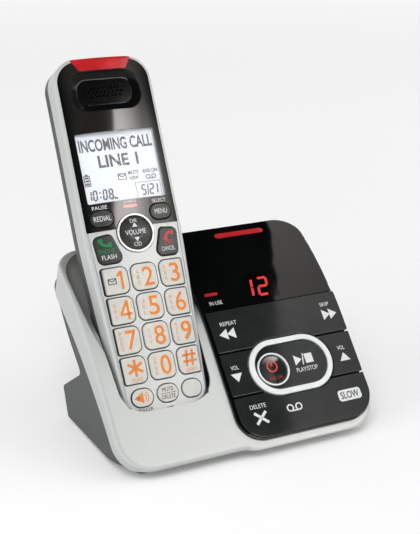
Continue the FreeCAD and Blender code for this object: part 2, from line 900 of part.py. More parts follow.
def control_panel():
    """Gloss black tray: display face above, floor for the buttons below."""
    tray = panel_layer(0, -panel_depth, panel_rise)
    rim = edges_where(tray, lambda p: abs(deck_height(p) - panel_rise) < 0.01)
    tray = tray.makeFillet(0.6, rim)
    low = panel_bottom + 0.6
    well = panel_shape(panel_left + panel_border - 0.3, low, base_width, row_top,
                       panel_corner - 1.5, 0, 0, 0.8)
    bed = deck_band(2 * deck_bottom, deck_top, tray_floor(), base_thickness, -base_width, base_width)
    bed = bed.common(prism(well, -base_thickness, base_thickness))
    tray = tray.cut(bed)
    round_oval = prism(oval_shape(-1.0), -base_thickness, base_thickness)
    ribs = rocker_rib(0).fuse(rocker_rib(2).cut(round_oval))
    layer = deck_band(2 * deck_bottom, deck_top, -panel_depth + 0.2, button_floor() - 0.05,
                      -base_width, base_width)
    tray = join([tray, ribs.common(layer)])
    for cut in [display_pocket(light_gap), message_bar(light_gap, base_thickness),
                in_use_bar(light_gap, base_thickness)]:
        tray = tray.cut(cut)
    return placed(tray, deck_place)


def message_display():
    """Two-digit message counter under the panel's face."""
    room = deck_band(0, deck_top, -base_thickness, panel_rise - 0.15, -base_width, base_width)
    return placed(display_pocket(0).common(room), deck_place)


def new_message_light():
    """Red bar that lights when there are new messages."""
    return placed(message_bar(0, panel_rise + 0.3), deck_place)


def in_use_light():
    """Small red light that shows when the line is in use."""
    return placed(in_use_bar(0, panel_rise + 0.1), deck_place)


def row_button(row):
    """Rocker that fills a row of the panel."""
    return placed(soften(row_solid(row), button_rise, 0.4), deck_place)


def volume_button(hand):
    """Volume button beside the oval: hand is -1 for the left one."""
    pieces = sorted(row_solid(1).Solids, key=lambda solid: solid.CenterOfMass.x)
    return placed(soften(pieces[0] if hand < 0 else pieces[-1], button_rise, 0.4), deck_place)


def answer_button_oval():
    """Bright oval frame round the play and answer buttons."""
    ring = prism(oval_shape(0), tray_floor(), oval_rise)
    ring = soften(ring, oval_rise, 0.7)
    return placed(ring.cut(prism(oval_shape(oval_band), tray_floor() - 1, oval_rise + 1)), deck_place)


def play_stop_button():
    """Play and stop button inside the oval, round the answer button."""
    body = prism(oval_shape(oval_band + button_gap), button_floor(), button_rise)
    body = soften(body, button_rise, 0.4)
    return placed(body.cut(disc(round_x, round_along, round_radius + button_gap, -5, 5)), deck_place)


def answer_button_ring():
    """Thin bright ring round the answer button."""
    ring = disc(round_x, round_along, round_radius, tray_floor(), oval_rise)
    return placed(ring.cut(disc(round_x, round_along, round_radius - round_band, -5, 5)), deck_place)


def answer_on_button():
    """Round button that turns the answering machine on, slightly dished."""
    radius = round_radius - round_band - button_gap
    body = soften(disc(round_x, round_along, radius, button_floor(), button_rise), button_rise, 0.4)
    dish = Part.makeSphere(60, Vector(round_x, round_along, button_rise + 60 - 0.4))
    return placed(body.cut(dish), deck_place)


# Handset parts

def front_cavity():
    """Hollow inside the front housing."""
    outline = handset_outline(-handset_wall)
    return prism(outline, -handset_split - 1, handset_split).common(crown(-handset_wall))


def lens_block(grow):
    """Wedge of the handset's top that the ringer lens fills."""
    low, high = lens_low_half + grow, lens_high_half + grow
    top = handset_length + 1
    outline = flat([(-low, lens_low - grow, 1.0), (low, lens_low - grow, 1.0),
                    (high, top, 0), (-high, top, 0)])
    return prism(outline, -lens_depth - grow, handset_split)


def face_outline(grow):
    """Outline of the dark face panel."""
    half = face_half + grow
    corner = head_corner - face_rim
    return panel_shape(-half, face_bottom - grow, half, face_top + grow, 0.6, 0.6, corner, corner)


def ear_ring(inset, height):
    """Rounded outline of the earpiece bowl at a height, drawn in by an inset."""
    wide = ear_half_length - inset
    tall = ear_half_width - 0.8 * inset
    corner = ear_corner - 0.7 * inset
    ring = panel_shape(-wide, ear_v - tall, wide, ear_v + tall, corner, corner, corner, corner)
    ring.translate(Vector(0, 0, height))
    return ring


def ear_bowl(wall):
    """Earpiece bowl, from its mouth down to its floor, or its outside where it is given a wall."""
    steps = [(-0.3, crown_rise + 0.4), (0.0, -0.2), (1.6, -0.72 * ear_depth), (4.6, -ear_depth)]
    rings = [ear_ring(inset - wall, height - (wall if height < 0 else 0)) for inset, height in steps]
    return Part.makeLoft(rings, True, False)


def ear_pad():
    """Raised oval in the bowl's floor that holds the sound holes."""
    pad = slot_shape(0, ear_v, ear_pad_length, ear_pad_width)
    return prism(pad, -ear_depth - ear_wall, -ear_depth + ear_pad_rise)


def ear_holes():
    """Sound holes of the earpiece, in three rows."""
    holes = []
    for row, count in [(-1, 8), (0, 9), (1, 8)]:
        for i in range(count):
            u = (i - (count - 1) / 2) * ear_pitch_u
            holes.append(disc(u, ear_v + row * ear_pitch_v, ear_hole / 2, -handset_split, handset_split))
    return holes


def window_shape(grow):
    """Outline of the display window."""
    return panel_shape(-display_half - grow, display_low - grow, display_half + grow, display_high + grow,
                       1.0, 1.0, 1.0, 1.0)


def key_shapes(grow):
    """Outlines of the number keys, the keys under them and the soft keys."""
    shapes = [number_key_shape(column, row, grow) for row in range(4) for column in range(3)]
    shapes += [low_key_shape(column, grow) for column in range(3)]
    return shapes + [soft_key_shape(hand, grow) for hand in (-1, 1)]


def handset_front_housing():
    """Silver front of the handset, with the seat of the face panel and the key holes."""
    shell = handset_front().cut(front_cavity())
    seat = crown_layer(face_outline(0.1), -face_thickness, handset_split)
    holes = [prism(shape, -handset_split, handset_split) for shape in key_shapes(key_gap)]
    holes += [call_key_body(hand, key_gap) for hand in (-1, 1)]
    holes += [disc(0, nav_v, nav_ring_radius - 0.8, -handset_split, handset_split)]
    holes += [prism(window_shape(-window_ledge), -handset_split, handset_split)]
    holes += [prism(light_shape(light_gap), -handset_split, handset_split)]
    holes += [prism(slot_shape(0, mouth_v, mouth_length, mouth_width), -handset_split, handset_split)]
    shell = shell.cut(seat).cut(lens_block(lens_gap))
    ring_seat = disc_wire(0, nav_v, nav_ring_radius + nav_ring_gap)
    shell = shell.cut(crown_layer(ring_seat, -face_thickness, handset_split))
    mouth = prism(ear_ring(-ear_wall - 0.7, 0), -handset_split, handset_split)
    shell = shell.cut(holes[0].multiFuse(holes[1:] + [mouth]))
    for hand in (-1, 1):
        ends = [(seam_foot, 6.0), (seam_foot + seam_width, 6.0),
                (face_half, face_bottom + 1), (face_half - seam_width, face_bottom + 1)]
        seam = flat([(hand * u, v, 0) for u, v in ends])
        shell = shell.cut(crown_layer(seam, -0.5, handset_split))
    return shell.Solids[0]


def disc_wire(x, y, radius):
    """Round outline."""
    return Part.Wire([Part.Circle(Vector(x, y, 0), Vector(0, 0, 1), radius).toShape()])


def light_shape(grow):
    """Outline of the charge light."""
    return slot_shape(0, charge_light_v, charge_light_length + 2 * grow, charge_light_width + 2 * grow)


def face_panel():
    """Gloss dark panel round the display, with the earpiece dish."""
    panel = crown_layer(face_outline(0), -face_thickness, face_proud)
    panel = join([panel, ear_bowl(ear_wall).common(crown(face_proud))]).cut(ear_bowl(0))
    panel = join([panel, ear_pad()]).cut(prism(window_shape(0.05), -handset_split, handset_split))
    holes = [prism(soft_key_shape(hand, key_gap), -handset_split, handset_split) for hand in (-1, 1)]
    holes += [disc(0, nav_v, nav_ring_radius + nav_ring_gap, -handset_split, handset_split),
              lens_block(lens_gap)]
    holes += [prism(light_shape(light_gap), -handset_split, handset_split)]
    return panel.cut(holes[0].multiFuse(holes[1:] + ear_holes())).Solids[0]


def ringer_lens():
    """Red lens that lights when the handset rings, wrapped over the top end."""
    return handset_front().cut(front_cavity()).common(lens_block(0))


def display_window():
    """Clear window over the display."""
    return crown_layer(window_shape(0), face_proud - window_thickness, face_proud)


def lcd_screen():
    """Flat liquid crystal display under the window."""
    outline = window_shape(-window_ledge - 0.2)
    frame = panel_shape(-display_half - 0.4, display_low - 2.0, display_half + 0.4, display_high + 2.0,
                        0.8, 0.8, 0.8, 0.8)
    glass = prism(outline, lcd_top - 0.8, lcd_top)
    back = prism(frame, board_top, lcd_top - 0.8).common(front_cavity_room())
    return join([glass, back])


def front_cavity_room():
    """Room inside the front housing that its inner pieces keep to."""
    outline = handset_outline(-handset_wall - 0.3)
    return prism(outline, -handset_split, handset_split).common(crown(-handset_wall - 0.15))


def charge_light():
    """Small red light over the navigation key."""
    return prism(light_shape(0), lcd_top, handset_split).common(crown(face_proud + 0.1))


def navigation_ring():
    """Bright ring round the navigation key."""
    ring = prism(disc_wire(0, nav_v, nav_ring_radius), -handset_split, handset_split)
    ring = ring.common(crown(key_stand)).cut(crown(-face_thickness))
    return ring.cut(disc(0, nav_v, nav_ring_radius - nav_ring_band, -handset_split, handset_split))


def navigation_key():
    """Round key that rocks up and down."""
    radius = nav_ring_radius - nav_ring_band - nav_gap
    top = crown_rise + key_stand - nav_sink
    cap = disc(0, nav_v, radius, key_floor, handset_split).common(crown(key_stand - nav_sink))
    cap = cap.common(Part.makeSphere(nav_ball, Vector(0, nav_v, top - nav_ball + nav_bulge)))
    return cap.cut(Part.makeSphere(nav_ball / 2, Vector(0, nav_v, top + nav_ball / 2 - nav_dish)))


def handset_circuit_board():
    """Circuit board along the handset."""
    board = prism(handset_outline(-handset_wall - 1.0), board_top - board_thickness, board_top)
    end = panel_shape(-base_width, handset_length - board_from_top,
                      base_width, 2 * handset_length, 0, 0, 0, 0)
    return board.cut(prism(end, -handset_split, 0))


def keypad_membrane():
    """Rubber sheet with a raised pad under each key."""
    top = board_top + membrane_thickness
    low, high = low_key_v - membrane_margin, soft_key_v + membrane_margin
    outline = panel_shape(-membrane_half, low, membrane_half, high,
                          membrane_corner, membrane_corner, 3.0, 3.0)
    sheet = prism(outline, board_top, top)
    pads = [prism(shape, board_top, top + 0.3) for shape in key_shapes(-2.4)]
    pads = [pad for pad in pads if max(pad.BoundBox.XMax, -pad.BoundBox.XMin) < membrane_half]
    return join([sheet] + pads)


def earpiece_speaker():
    """Small loudspeaker behind the earpiece holes."""
    body = disc(0, ear_v, earpiece_radius, board_top, -handset_wall - 1.6)
    return body.common(front_cavity_room())


def microphone():
    """Round microphone behind the slot at the foot."""
    return disc(0, mouth_v + 1.0, microphone_radius, board_top, -handset_wall - 1.4)


def cover_shape(grow, extra=0.0):
    """Outline of the battery cover, with room below it to slide."""
    return panel_shape(-cover_half - grow, cover_low - extra - grow, cover_half + grow, cover_high + grow,
                       4.0, 4.0, 2.0, 2.0)


def bay_shape(grow):
    """Outline of the battery bay."""
    return panel_shape(-bay_half - grow, cover_low + bay_margin - grow, bay_half + grow,
                       cover_high - bay_margin + grow, 1.0, 1.0, 1.0, 1.0)


def handset_rear_housing():
    """Dark back of the handset, with the battery bay, the ringer slots and the screw wells."""
    shell = handset_back(0).common(prism(handset_outline(1), -handset_thickness - 1, -handset_split - 0.05))
    inner = prism(handset_outline(-handset_wall), -handset_thickness + handset_wall, 0)
    rim = edges_where(inner, lambda p: abs(p.z + handset_thickness - handset_wall) < 0.01)
    shell = shell.cut(inner.makeFillet(back_edge - handset_wall, rim))
    back = -handset_thickness
    cover_top = back + cover_thickness
    bay_top = cover_top + bay_depth
    lining = prism(cover_shape(bay_wall, cover_travel), back, cover_top + bay_wall)
    walls = prism(bay_shape(bay_wall), back + 0.5, bay_top + bay_wall)
    posts = [disc(u, v, handset_post_radius, back + 1.0, -handset_split - 0.05) for u, v in handset_screws_at]
    room = handset_back(-0.3).common(prism(handset_outline(1), back, bay_top + bay_wall))
    shell = join([shell] + [piece.common(room) for piece in [lining, walls] + posts])
    shell = shell.cut(prism(cover_shape(cover_gap, cover_travel), back - 1, cover_top))
    shell = shell.cut(prism(bay_shape(0), back, bay_top))
    wells = [disc(u, v, handset_screw_head + 0.2, back - 1, back + 1.6) for u, v in handset_screws_at]
    slots = [prism(slot_shape(0, back_slot_v + back_slot_pitch * i, back_slot_length, back_slot_width),
                   back - 1, back + 4) for i in range(-2, 3)]
    shell = shell.cut(wells[0].multiFuse(wells[1:] + slots))
    for u, height in contact_places():
        shell = shell.cut(contact_plate(u, height, -1, handset_wall + 1, 0.05))
    return shell.Solids[0]


def battery_cover():
    """Sliding battery cover with a ribbed thumb grip."""
    back = -handset_thickness
    plate = prism(cover_shape(0), back, back + cover_thickness - 0.05)
    rim = edges_where(plate, lambda p: abs(p.z - back) < 0.01)
    plate = plate.makeFillet(0.4, rim)
    grooves = [prism(slot_shape(0, cover_low + 6.0 + grip_pitch * i, grip_length, grip_width),
                     back - 1, back + 0.5) for i in range(4)]
    return plate.cut(grooves[0].multiFuse(grooves[1:]))


def battery_pack():
    """Two round cells side by side in the bay."""
    radius = bay_depth / 2 - 0.15
    low, high = cover_low + bay_margin + 1.0, cover_high - bay_margin - 1.0
    z = -handset_thickness + cover_thickness + bay_depth / 2 + 0.1
    cells = [Part.makeCylinder(radius, high - low, Vector(u, low, z), Vector(0, 1, 0))
             for u in (-radius + 0.1, radius - 0.1)]
    return join(cells)


def handset_screws():
    """Screws in the back of the handset."""
    screws = []
    for u, v in handset_screws_at:
        low = -handset_thickness + 0.5
        head = disc(u, v, handset_screw_head, low, low + 1.1)
        screws.append(head.cut(cross_slot(u, v, handset_screw_head, handset_screw_slot, low)))
    return Part.makeCompound(screws)


def contact_plate(u, height, low, high, grow):
    """Block of a charging contact in the handset's foot, between two places along the handset."""
    wide, tall = contact_width + 1.0 + 2 * grow, contact_length + 0.8 + 2 * grow
    return Part.makeBox(wide, high - low, tall, Vector(u - wide / 2, low, height - tall / 2))


def handset_contacts():
    """Charging contacts in the handset's foot, each with a flange inside the wall."""
    contacts = []
    for u, height in contact_places():
        plate = contact_plate(u, height, 0, handset_wall + 0.8, 0)
        wide, tall = contact_width + 1.8, contact_length + 0.8
        flange = Part.makeBox(wide, 0.8, tall, Vector(u - wide / 2, handset_wall, height - tall / 2))
        contacts.append(join([plate, flange]))
    return Part.makeCompound(contacts)


def handset_parts():
    """All parts of the handset by name, in the handset's own frame."""
    parts = {
        "handset_front_housing": handset_front_housing(), "handset_rear_housing": handset_rear_housing(),
        "face_panel": face_panel(), "ringer_lens": ringer_lens(), "display_window": display_window(),
        "lcd_screen": lcd_screen(), "charge_light": charge_light(), "navigation_ring": navigation_ring(),
        "navigation_key": navigation_key(), "handset_circuit_board": handset_circuit_board(),
        "keypad_membrane": keypad_membrane(), "earpiece_speaker": earpiece_speaker(),
        "microphone": microphone(), "battery_cover": battery_cover(), "battery_pack": battery_pack(),
        "handset_screws": handset_screws(), "handset_contacts": handset_contacts()}
    names = ["key_1", "key_2", "key_3", "key_4", "key_5", "key_6", "key_7", "key_8", "key_9",
             "key_star", "key_0", "key_hash"]
    for i, name in enumerate(names):
        parts[name] = key_body(key_block(number_key_shape(i % 3, i // 3, 0)))
    for column, name in enumerate(["speaker_key", "mute_key", "boost_key"]):
        parts[name] = key_body(key_block(low_key_shape(column, 0)))
    for hand, soft, call in [(-1, "redial_key", "phone_key"), (1, "menu_key", "off_key")]:
        parts[soft] = key_body(key_block(soft_key_shape(hand, 0)))
        parts[call] = key_body(call_key_body(hand, 0))
    return parts


def base_parts():
    """All parts of the base station by name."""
    return {
        "base_top_housing": base_top_housing(), "base_bottom_housing": base_bottom_housing(),
        "control_panel": control_panel(), "message_display": message_display(),
        "new_message_light": new_message_light(), "in_use_light": in_use_light(),
        "repeat_skip_rocker": row_button(0), "volume_down_button": volume_button(-1),
        "volume_up_button": volume_button(1), "delete_slow_rocker": row_button(2),
        "answer_button_oval": answer_button_oval(), "play_stop_button": play_stop_button(),
        "answer_button_ring": answer_button_ring(), "answer_on_button": answer_on_button(),
        "base_circuit_board": base_circuit_board(), "base_speaker": base_speaker(),
        "charging_contacts": charging_contacts(), "power_jack": power_jack(), "line_jack": line_jack(),
        "rubber_feet": Part.makeCompound(foot_pads(pad_recess, 0)), "base_screws": base_screws()}


def main():
    os.makedirs("parts", exist_ok=True)
    parts = base_parts()
    parts.update({name: placed(shape, handset_place) for name, shape in handset_parts().items()})
    for name, shape in parts.items():
        shape.exportStep(os.path.join("parts", name + ".step"))


main()
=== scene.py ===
import json
import math

import bmesh
import bpy
from mathutils import Matrix, Vector
from mathutils.bvhtree import BVHTree


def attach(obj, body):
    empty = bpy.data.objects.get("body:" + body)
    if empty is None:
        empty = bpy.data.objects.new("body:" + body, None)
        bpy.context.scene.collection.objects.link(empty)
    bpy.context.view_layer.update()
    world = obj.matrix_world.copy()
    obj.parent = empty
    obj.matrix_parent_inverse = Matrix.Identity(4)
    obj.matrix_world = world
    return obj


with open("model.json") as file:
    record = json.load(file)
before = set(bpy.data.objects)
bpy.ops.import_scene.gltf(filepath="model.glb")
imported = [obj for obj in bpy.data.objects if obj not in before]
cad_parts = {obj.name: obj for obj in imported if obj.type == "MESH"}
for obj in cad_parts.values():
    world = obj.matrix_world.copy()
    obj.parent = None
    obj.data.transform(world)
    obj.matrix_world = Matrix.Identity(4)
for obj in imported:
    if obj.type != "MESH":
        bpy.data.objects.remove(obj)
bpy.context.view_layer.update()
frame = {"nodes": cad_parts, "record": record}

# Lengths are in millimetres, apart from the camera, the cards, the floor and the lamps, which are in metres.
MM = 0.001

# Camera: where it stands, what it looks at and how much it takes in. Lens and sensor are in millimetres.
CAMERA_PLACE = Vector((-0.24243, -0.50073, 0.27422))
CAMERA_AIM = Vector((-0.0065, -0.0188, 0.0845))
FOCAL_LENGTH = 78.73
SENSOR_HEIGHT = 36.0
SHIFT_X = 0.0027
SHIFT_Y = 0.0075

# The two faces that carry the prints. The deck of the base leans back, is flat up to BEND_START along its slope and
# then bends away from that plane. The handset stands in the deck's cradle and leans back less.
DECK_PLACE = (0, -27.5, 42.6)
DECK_LEAN = 47.6
BEND_START = 8.0
BEND_RADIUS = 160.0
HANDSET_FOOT = Vector((-37.0, -23.7, -3.4))
HANDSET_LEAN = 62.8
DECK = Matrix.Translation(DECK_PLACE) @ Matrix.Rotation(math.radians(DECK_LEAN), 4, "X")
HANDSET = Matrix.Translation(DECK @ HANDSET_FOOT) @ Matrix.Rotation(math.radians(HANDSET_LEAN), 4, "X")

# Zones of painted shade, as fades along the axes of a face: where each starts and where the shade is full.
DISH_SHADE_ZONE = [("Z", -0.5, -7.0), ("X", -68.4, -67.0), ("X", -2, -12), ("Y", -20, 0)]
WELL_SHADE_ZONE = [("Z", -0.25, -1.5), ("X", -20, -14), ("X", -4, -6), ("Y", -27, -24), ("Y", 62, 30)]
EARPIECE_SHADE = [("Z", -0.15, -1.0)]
KEY_SKIRT_SHADE = [("Z", 0.4, 0.15)]
# The painted shade of the dish stops before the rear wall of the base, which stays bright: this fade runs along the
# base's own depth.
BEFORE_REAR_WALL = [("Y", 57.0, 54.0)]

# Sockets of the Mix node when it mixes colours.
FIRST_COLOUR, SECOND_COLOUR, MIXED_COLOUR = 6, 7, 2


# ---- Materials ----

def linear(code, alpha=1.0):
    """Linear colour of an sRGB hex value such as "D4D4CE"."""
    parts = [int(code[i:i + 2], 16) / 255 for i in (0, 2, 4)]
    return [c / 12.92 if c <= 0.04045 else ((c + 0.055) / 1.055) ** 2.4 for c in parts] + [alpha]


def add(tree, kind, inputs=None, **settings):
    """Adds a node, makes its settings, and gives its inputs values or links."""
    node = tree.nodes.new("ShaderNode" + kind)
    for name, value in settings.items():
        setattr(node, name, value)
    for socket, value in (inputs or {}).items():
        if isinstance(value, bpy.types.NodeSocket):
            tree.links.new(value, node.inputs[socket])
        else:
            node.inputs[socket].default_value = value
    return node


def start_finish(name, **sockets):
    """New material with one Principled shader; returns the material, its tree, shader and object place."""
    material = bpy.data.materials.new(name)
    material.use_nodes = True
    tree = material.node_tree
    tree.nodes.clear()
    shader = add(tree, "BsdfPrincipled", {key.replace("_", " "): value for key, value in sockets.items()})
    add(tree, "OutputMaterial", {"Surface": shader.outputs[0]})
    place = add(tree, "TexCoord").outputs["Object"]
    return material, tree, shader, place


def grains(size):
    """Noise scale, in waves to the metre, of grains of a size."""
    return 1 / (size * MM)


def blotches(tree, place, size, colours, detail=2.0):
    """Colour that wanders between two hex values in patches of a size."""
    noise = add(tree, "TexNoise", {"Vector": place, "Scale": grains(size), "Detail": detail})
    ramp = add(tree, "ValToRGB", {"Fac": noise.outputs["Fac"]})
    for stop, position, code in zip(ramp.color_ramp.elements, (0.35, 0.65), colours):
        stop.position = position
        stop.color = linear(code)
    return ramp.outputs["Color"]


def relief(tree, shader, place, size, depth):
    """Fine bumps of a grain size and a depth."""
    noise = add(tree, "TexNoise", {"Vector": place, "Scale": grains(size), "Detail": 2.0})
    bump = add(tree, "Bump", {"Height": noise.outputs["Fac"], "Distance": depth * MM, "Strength": 1.0})
    tree.links.new(bump.outputs["Normal"], shader.inputs["Normal"])


def over_face(tree, place, carrier):
    """Where a place lies from the flat face of the deck or handset: across it, up its slope and out of it."""
    flat = carrier.inverted()
    moved = {"Vector": place, "Location": flat.to_translation() * MM, "Rotation": flat.to_euler()}
    return add(tree, "SeparateXYZ", {"Vector": add(tree, "Mapping", moved).outputs["Vector"]}).outputs


def cut_to(tree, share, spot, zone):
    """Share from 0 to 1, cut down to a zone by the zone's fades."""
    for axis, start, full in zone:
        fade = add(tree, "MapRange", {"Value": spot[axis], "From Min": start * MM, "From Max": full * MM})
        share = add(tree, "Math", {0: share, 1: fade.outputs["Result"]}, operation="MULTIPLY").outputs[0]
    return share


def patchy_finish(name, size, colours, bumps=None, **sockets):
    """Finish whose colour wanders in patches of a size, with bumps of a size and a depth where it has any."""
    material, tree, shader, place = start_finish(name, **sockets)
    tree.links.new(blotches(tree, place, size, colours), shader.inputs["Base Color"])
    if bumps:
        relief(tree, shader, place, *bumps)
    return material


def start_silver(name):
    """What both silver finishes share, and the colour of the lacquer, which has yet to be linked."""
    material, tree, shader, place = start_finish(name, Metallic=0.25, Roughness=0.42, IOR=1.5)
    relief(tree, shader, place, 0.25, 0.0025)
    return material, tree, shader, place, blotches(tree, place, 0.22, ("C5C8C6", "CED1CF"), detail=1.0)


def silver_painted_abs():
    """Moulded ABS sprayed with silver lacquer: a soft metallic sheen with a faint sparkle of flake."""
    material, tree, shader, _, colour = start_silver("silver_painted_abs")
    tree.links.new(colour, shader.inputs["Base Color"])
    return material


def silver_abs_painted_shade():
    """The same lacquer on the base, with painted shade: darker in the dish and darker still down the walls of the
    cradle beside the handset.
    """
    material, tree, shader, place, colour = start_silver("silver_abs_painted_shade")
    deck = over_face(tree, place, DECK)
    upright = add(tree, "SeparateXYZ", {"Vector": place}).outputs
    # Painted shade: A2A4A0 darkens the dish where the handset shades it, and 1C1D1C darkens the cradle's walls beside
    # the handset.
    dish_shade = cut_to(tree, cut_to(tree, 1.0, deck, DISH_SHADE_ZONE), upright, BEFORE_REAR_WALL)
    well_shade = cut_to(tree, 1.0, deck, WELL_SHADE_ZONE)
    for share, code in ((dish_shade, "A2A4A0"), (well_shade, "1C1D1C")):
        mix = add(tree, "Mix", {"Factor": share, FIRST_COLOUR: colour, SECOND_COLOUR: linear(code)}, data_type="RGBA")
        colour = mix.outputs[MIXED_COLOUR]
    tree.links.new(colour, shader.inputs["Base Color"])
    return material


def spark_eroded_abs():
    """Dark grey ABS from a spark-eroded mould: an even, fine satin grain."""
    return patchy_finish("spark_eroded_abs", 0.5, ("444646", "4D4F4F"), (0.45, 0.02), Roughness=0.5, IOR=1.53)


def gloss_black_abs():
    """Black ABS from a polished mould: mirror gloss, with the long faint waves of a moulded sheet."""
    return patchy_finish("gloss_black_abs", 30, ("050707", "0A0C0C"), (25, 0.001), Roughness=0.03, IOR=1.53)


def smoked_gloss_abs():
    """Smoke-grey ABS from a polished mould, the face of the handset, with painted shade down in the earpiece dish:
    black there, and with its gloss turned down.
    """
    material, tree, shader, place = start_finish("smoked_gloss_abs", Roughness=0.08, IOR=1.53)
    # Painted shade: the deeper in the earpiece dish, the blacker and less glossy the face.
    deep = cut_to(tree, 1.0, over_face(tree, place, HANDSET), EARPIECE_SHADE)
    colour = add(tree, "Mix", {"Factor": deep, FIRST_COLOUR: blotches(tree, place, 30, ("211F1D", "282624")),
                               SECOND_COLOUR: linear("0B0C0D")}, data_type="RGBA")
    tree.links.new(colour.outputs[MIXED_COLOUR], shader.inputs["Base Color"])
    gloss = add(tree, "MapRange", {"Value": deep, "To Min": 0.5, "To Max": 0.15})
    tree.links.new(gloss.outputs["Result"], shader.inputs["Specular IOR Level"])
    relief(tree, shader, place, 25, 0.002)
    return material


def satin_black_abs():
    """Black ABS buttons with a lightly dulled polish, barely uneven in colour."""
    return patchy_finish("satin_black_abs", 12, ("202423", "262A29"), (0.5, 0.0002), Roughness=0.07, IOR=1.53)


def smoked_acrylic():
    """Dark acrylic of the message counter: nearly black until its figures light."""
    return patchy_finish("smoked_acrylic", 6, ("060505", "0B0707"), Roughness=0.05, IOR=1.49)


def ruby_acrylic():
    """Clear red acrylic over a lamp: deep colour that glows from inside under a polished skin."""
    return patchy_finish("ruby_acrylic", 8, ("AE2024", "C02C2E"), (1.6, 0.01), Roughness=0.12, IOR=1.49,
                         Coat_Weight=0.6, Emission_Color=linear("D0221F"), Emission_Strength=0.08)


def white_gloss_abs():
    """White ABS ring, polished: clean and bright, barely cool."""
    return patchy_finish("white_gloss_abs", 10, ("E2E5E6", "EAECEC"), Roughness=0.22, IOR=1.53)


def metallised_ring():
    """Ring round the navigation key with a thin vacuum-laid metal skin: silver grey, satin."""
    return patchy_finish("metallised_ring", 1.5, ("B9BBB7", "C8CAC6"), Metallic=0.55, Roughness=0.3, IOR=1.5)


def backlit_key_cap():
    """Milky key cap with a smooth matt top, and painted shade on its sides where they go down into the handset."""
    material, tree, shader, place = start_finish("backlit_key_cap", Roughness=0.35, IOR=1.49)
    # Painted shade: the key's sides turn dark grey (2B3033) below the level of its top.
    skirt_shade = cut_to(tree, 1.0, over_face(tree, place, HANDSET), KEY_SKIRT_SHADE)
    colour = add(tree, "Mix", {"Factor": skirt_shade, FIRST_COLOUR: blotches(tree, place, 4, ("C8C7C1", "CFCEC7")),
                               SECOND_COLOUR: linear("2B3033")}, data_type="RGBA")
    tree.links.new(colour.outputs[MIXED_COLOUR], shader.inputs["Base Color"])
    relief(tree, shader, place, 0.5, 0.003)
    return material


def dark_key_cap():
    """Dark hard-coated key cap, satin."""
    return patchy_finish("dark_key_cap", 3, ("2C2F2F", "343736"), (0.4, 0.003), Roughness=0.32, IOR=1.5)


def clear_acrylic():
    """Clear acrylic window: seen only by its reflections."""
    material, tree, shader, place = start_finish(
        "clear_acrylic", Base_Color=linear("F4F8FF"), Roughness=0.03, IOR=1.49, Alpha=0.1)
    relief(tree, shader, place, 20, 0.005)
    return material


def lit_crystal():
    """Liquid crystal glass with a white lamp sheet behind it: even, pale and faintly blue."""
    return patchy_finish("lit_crystal", 14, ("DDE2EA", "E6EAF0"), Roughness=0.25, IOR=1.5,
                         Emission_Color=linear("EAEFF6"), Emission_Strength=0.16)


def solder_mask():
    """Green lacquer over a glass and resin board, with copper traces that show as paler lines."""
    material, tree, shader, place = start_finish("solder_mask", Roughness=0.3, IOR=1.5)
    traces = add(tree, "TexVoronoi", {"Vector": place, "Scale": grains(2.5)}, feature="DISTANCE_TO_EDGE")
    ramp = add(tree, "ValToRGB", {"Fac": traces.outputs["Distance"]})
    for stop, position, code in zip(ramp.color_ramp.elements, (0.04, 0.07), ("2F7A48", "1B5632")):
        stop.position = position
        stop.color = linear(code)
    tree.links.new(ramp.outputs["Color"], shader.inputs["Base Color"])
    return material


def pressed_steel():
    """Pressed steel frame of a loudspeaker, zinc plated and a little cloudy."""
    return patchy_finish("pressed_steel", 3, ("8C8C86", "A2A29C"), Metallic=1.0, Roughness=0.38)


def nickel_plate():
    """Nickel plated contact springs, bright and faintly yellow."""
    return patchy_finish("nickel_plate", 1.2, ("C4BFB0", "D2CEC2"), Metallic=1.0, Roughness=0.22)


def moulded_rubber():
    """Moulded rubber foot: black, matt, dusty on its grain."""
    return patchy_finish("moulded_rubber", 0.6, ("171717", "222222"), (0.5, 0.03), Roughness=0.85, IOR=1.52)


def silicone_sheet():
    """Silicone key sheet: milky, soft and dull."""
    return patchy_finish("silicone_sheet", 4, ("8F9698", "9CA3A5"), Roughness=0.6, IOR=1.41)


def zinc_screw():
    """Zinc plated screw steel, bright with cloudy patches."""
    return patchy_finish("zinc_screw", 0.8, ("9A9CA0", "B4B6BA"), Metallic=1.0, Roughness=0.3)


def socket_nylon():
    """Black nylon socket body: dull, slightly oily."""
    return patchy_finish("socket_nylon", 1.5, ("141516", "1D1E20"), (0.5, 0.006), Roughness=0.45, IOR=1.53)


def shrink_sleeve():
    """Shrunk plastic sleeve round the cells: thin, glossy and slightly rippled."""
    return patchy_finish("shrink_sleeve", 5, ("3F7F8C", "4B8D9A"), (3, 0.05), Roughness=0.25, IOR=1.54)


# Finish of each material slot, and of the two nodes that differ from the rest of their slot.
FINISHES = {
    "silver_plastic": silver_painted_abs, "dark_plastic": spark_eroded_abs, "black_panel": gloss_black_abs,
    "handset_panel": smoked_gloss_abs, "black_button": satin_black_abs, "counter_face": smoked_acrylic,
    "red_lens": ruby_acrylic, "white_ring": white_gloss_abs, "pale_key": backlit_key_cap,
    "dark_key": dark_key_cap, "clear_window": clear_acrylic, "lcd_face": lit_crystal,
    "circuit_board": solder_mask, "speaker_frame": pressed_steel, "contact_metal": nickel_plate,
    "rubber_pad": moulded_rubber, "silicone_sheet": silicone_sheet, "screw_steel": zinc_screw,
    "socket_plastic": socket_nylon, "cell_sleeve": shrink_sleeve,
}
OWN_FINISHES = {"navigation_ring": metallised_ring, "base_top_housing": silver_abs_painted_shade}


def dress_nodes():
    """Gives every CAD node the finish of its material slot, or its own."""
    materials = {slot: make() for slot, make in FINISHES.items()}
    for part in frame["record"]["subparts"]:
        own = OWN_FINISHES.get(part["node"])
        slots = frame["nodes"][part["node"]].data.materials
        slots.clear()
        slots.append(own() if own else materials[part["material_slot"]])


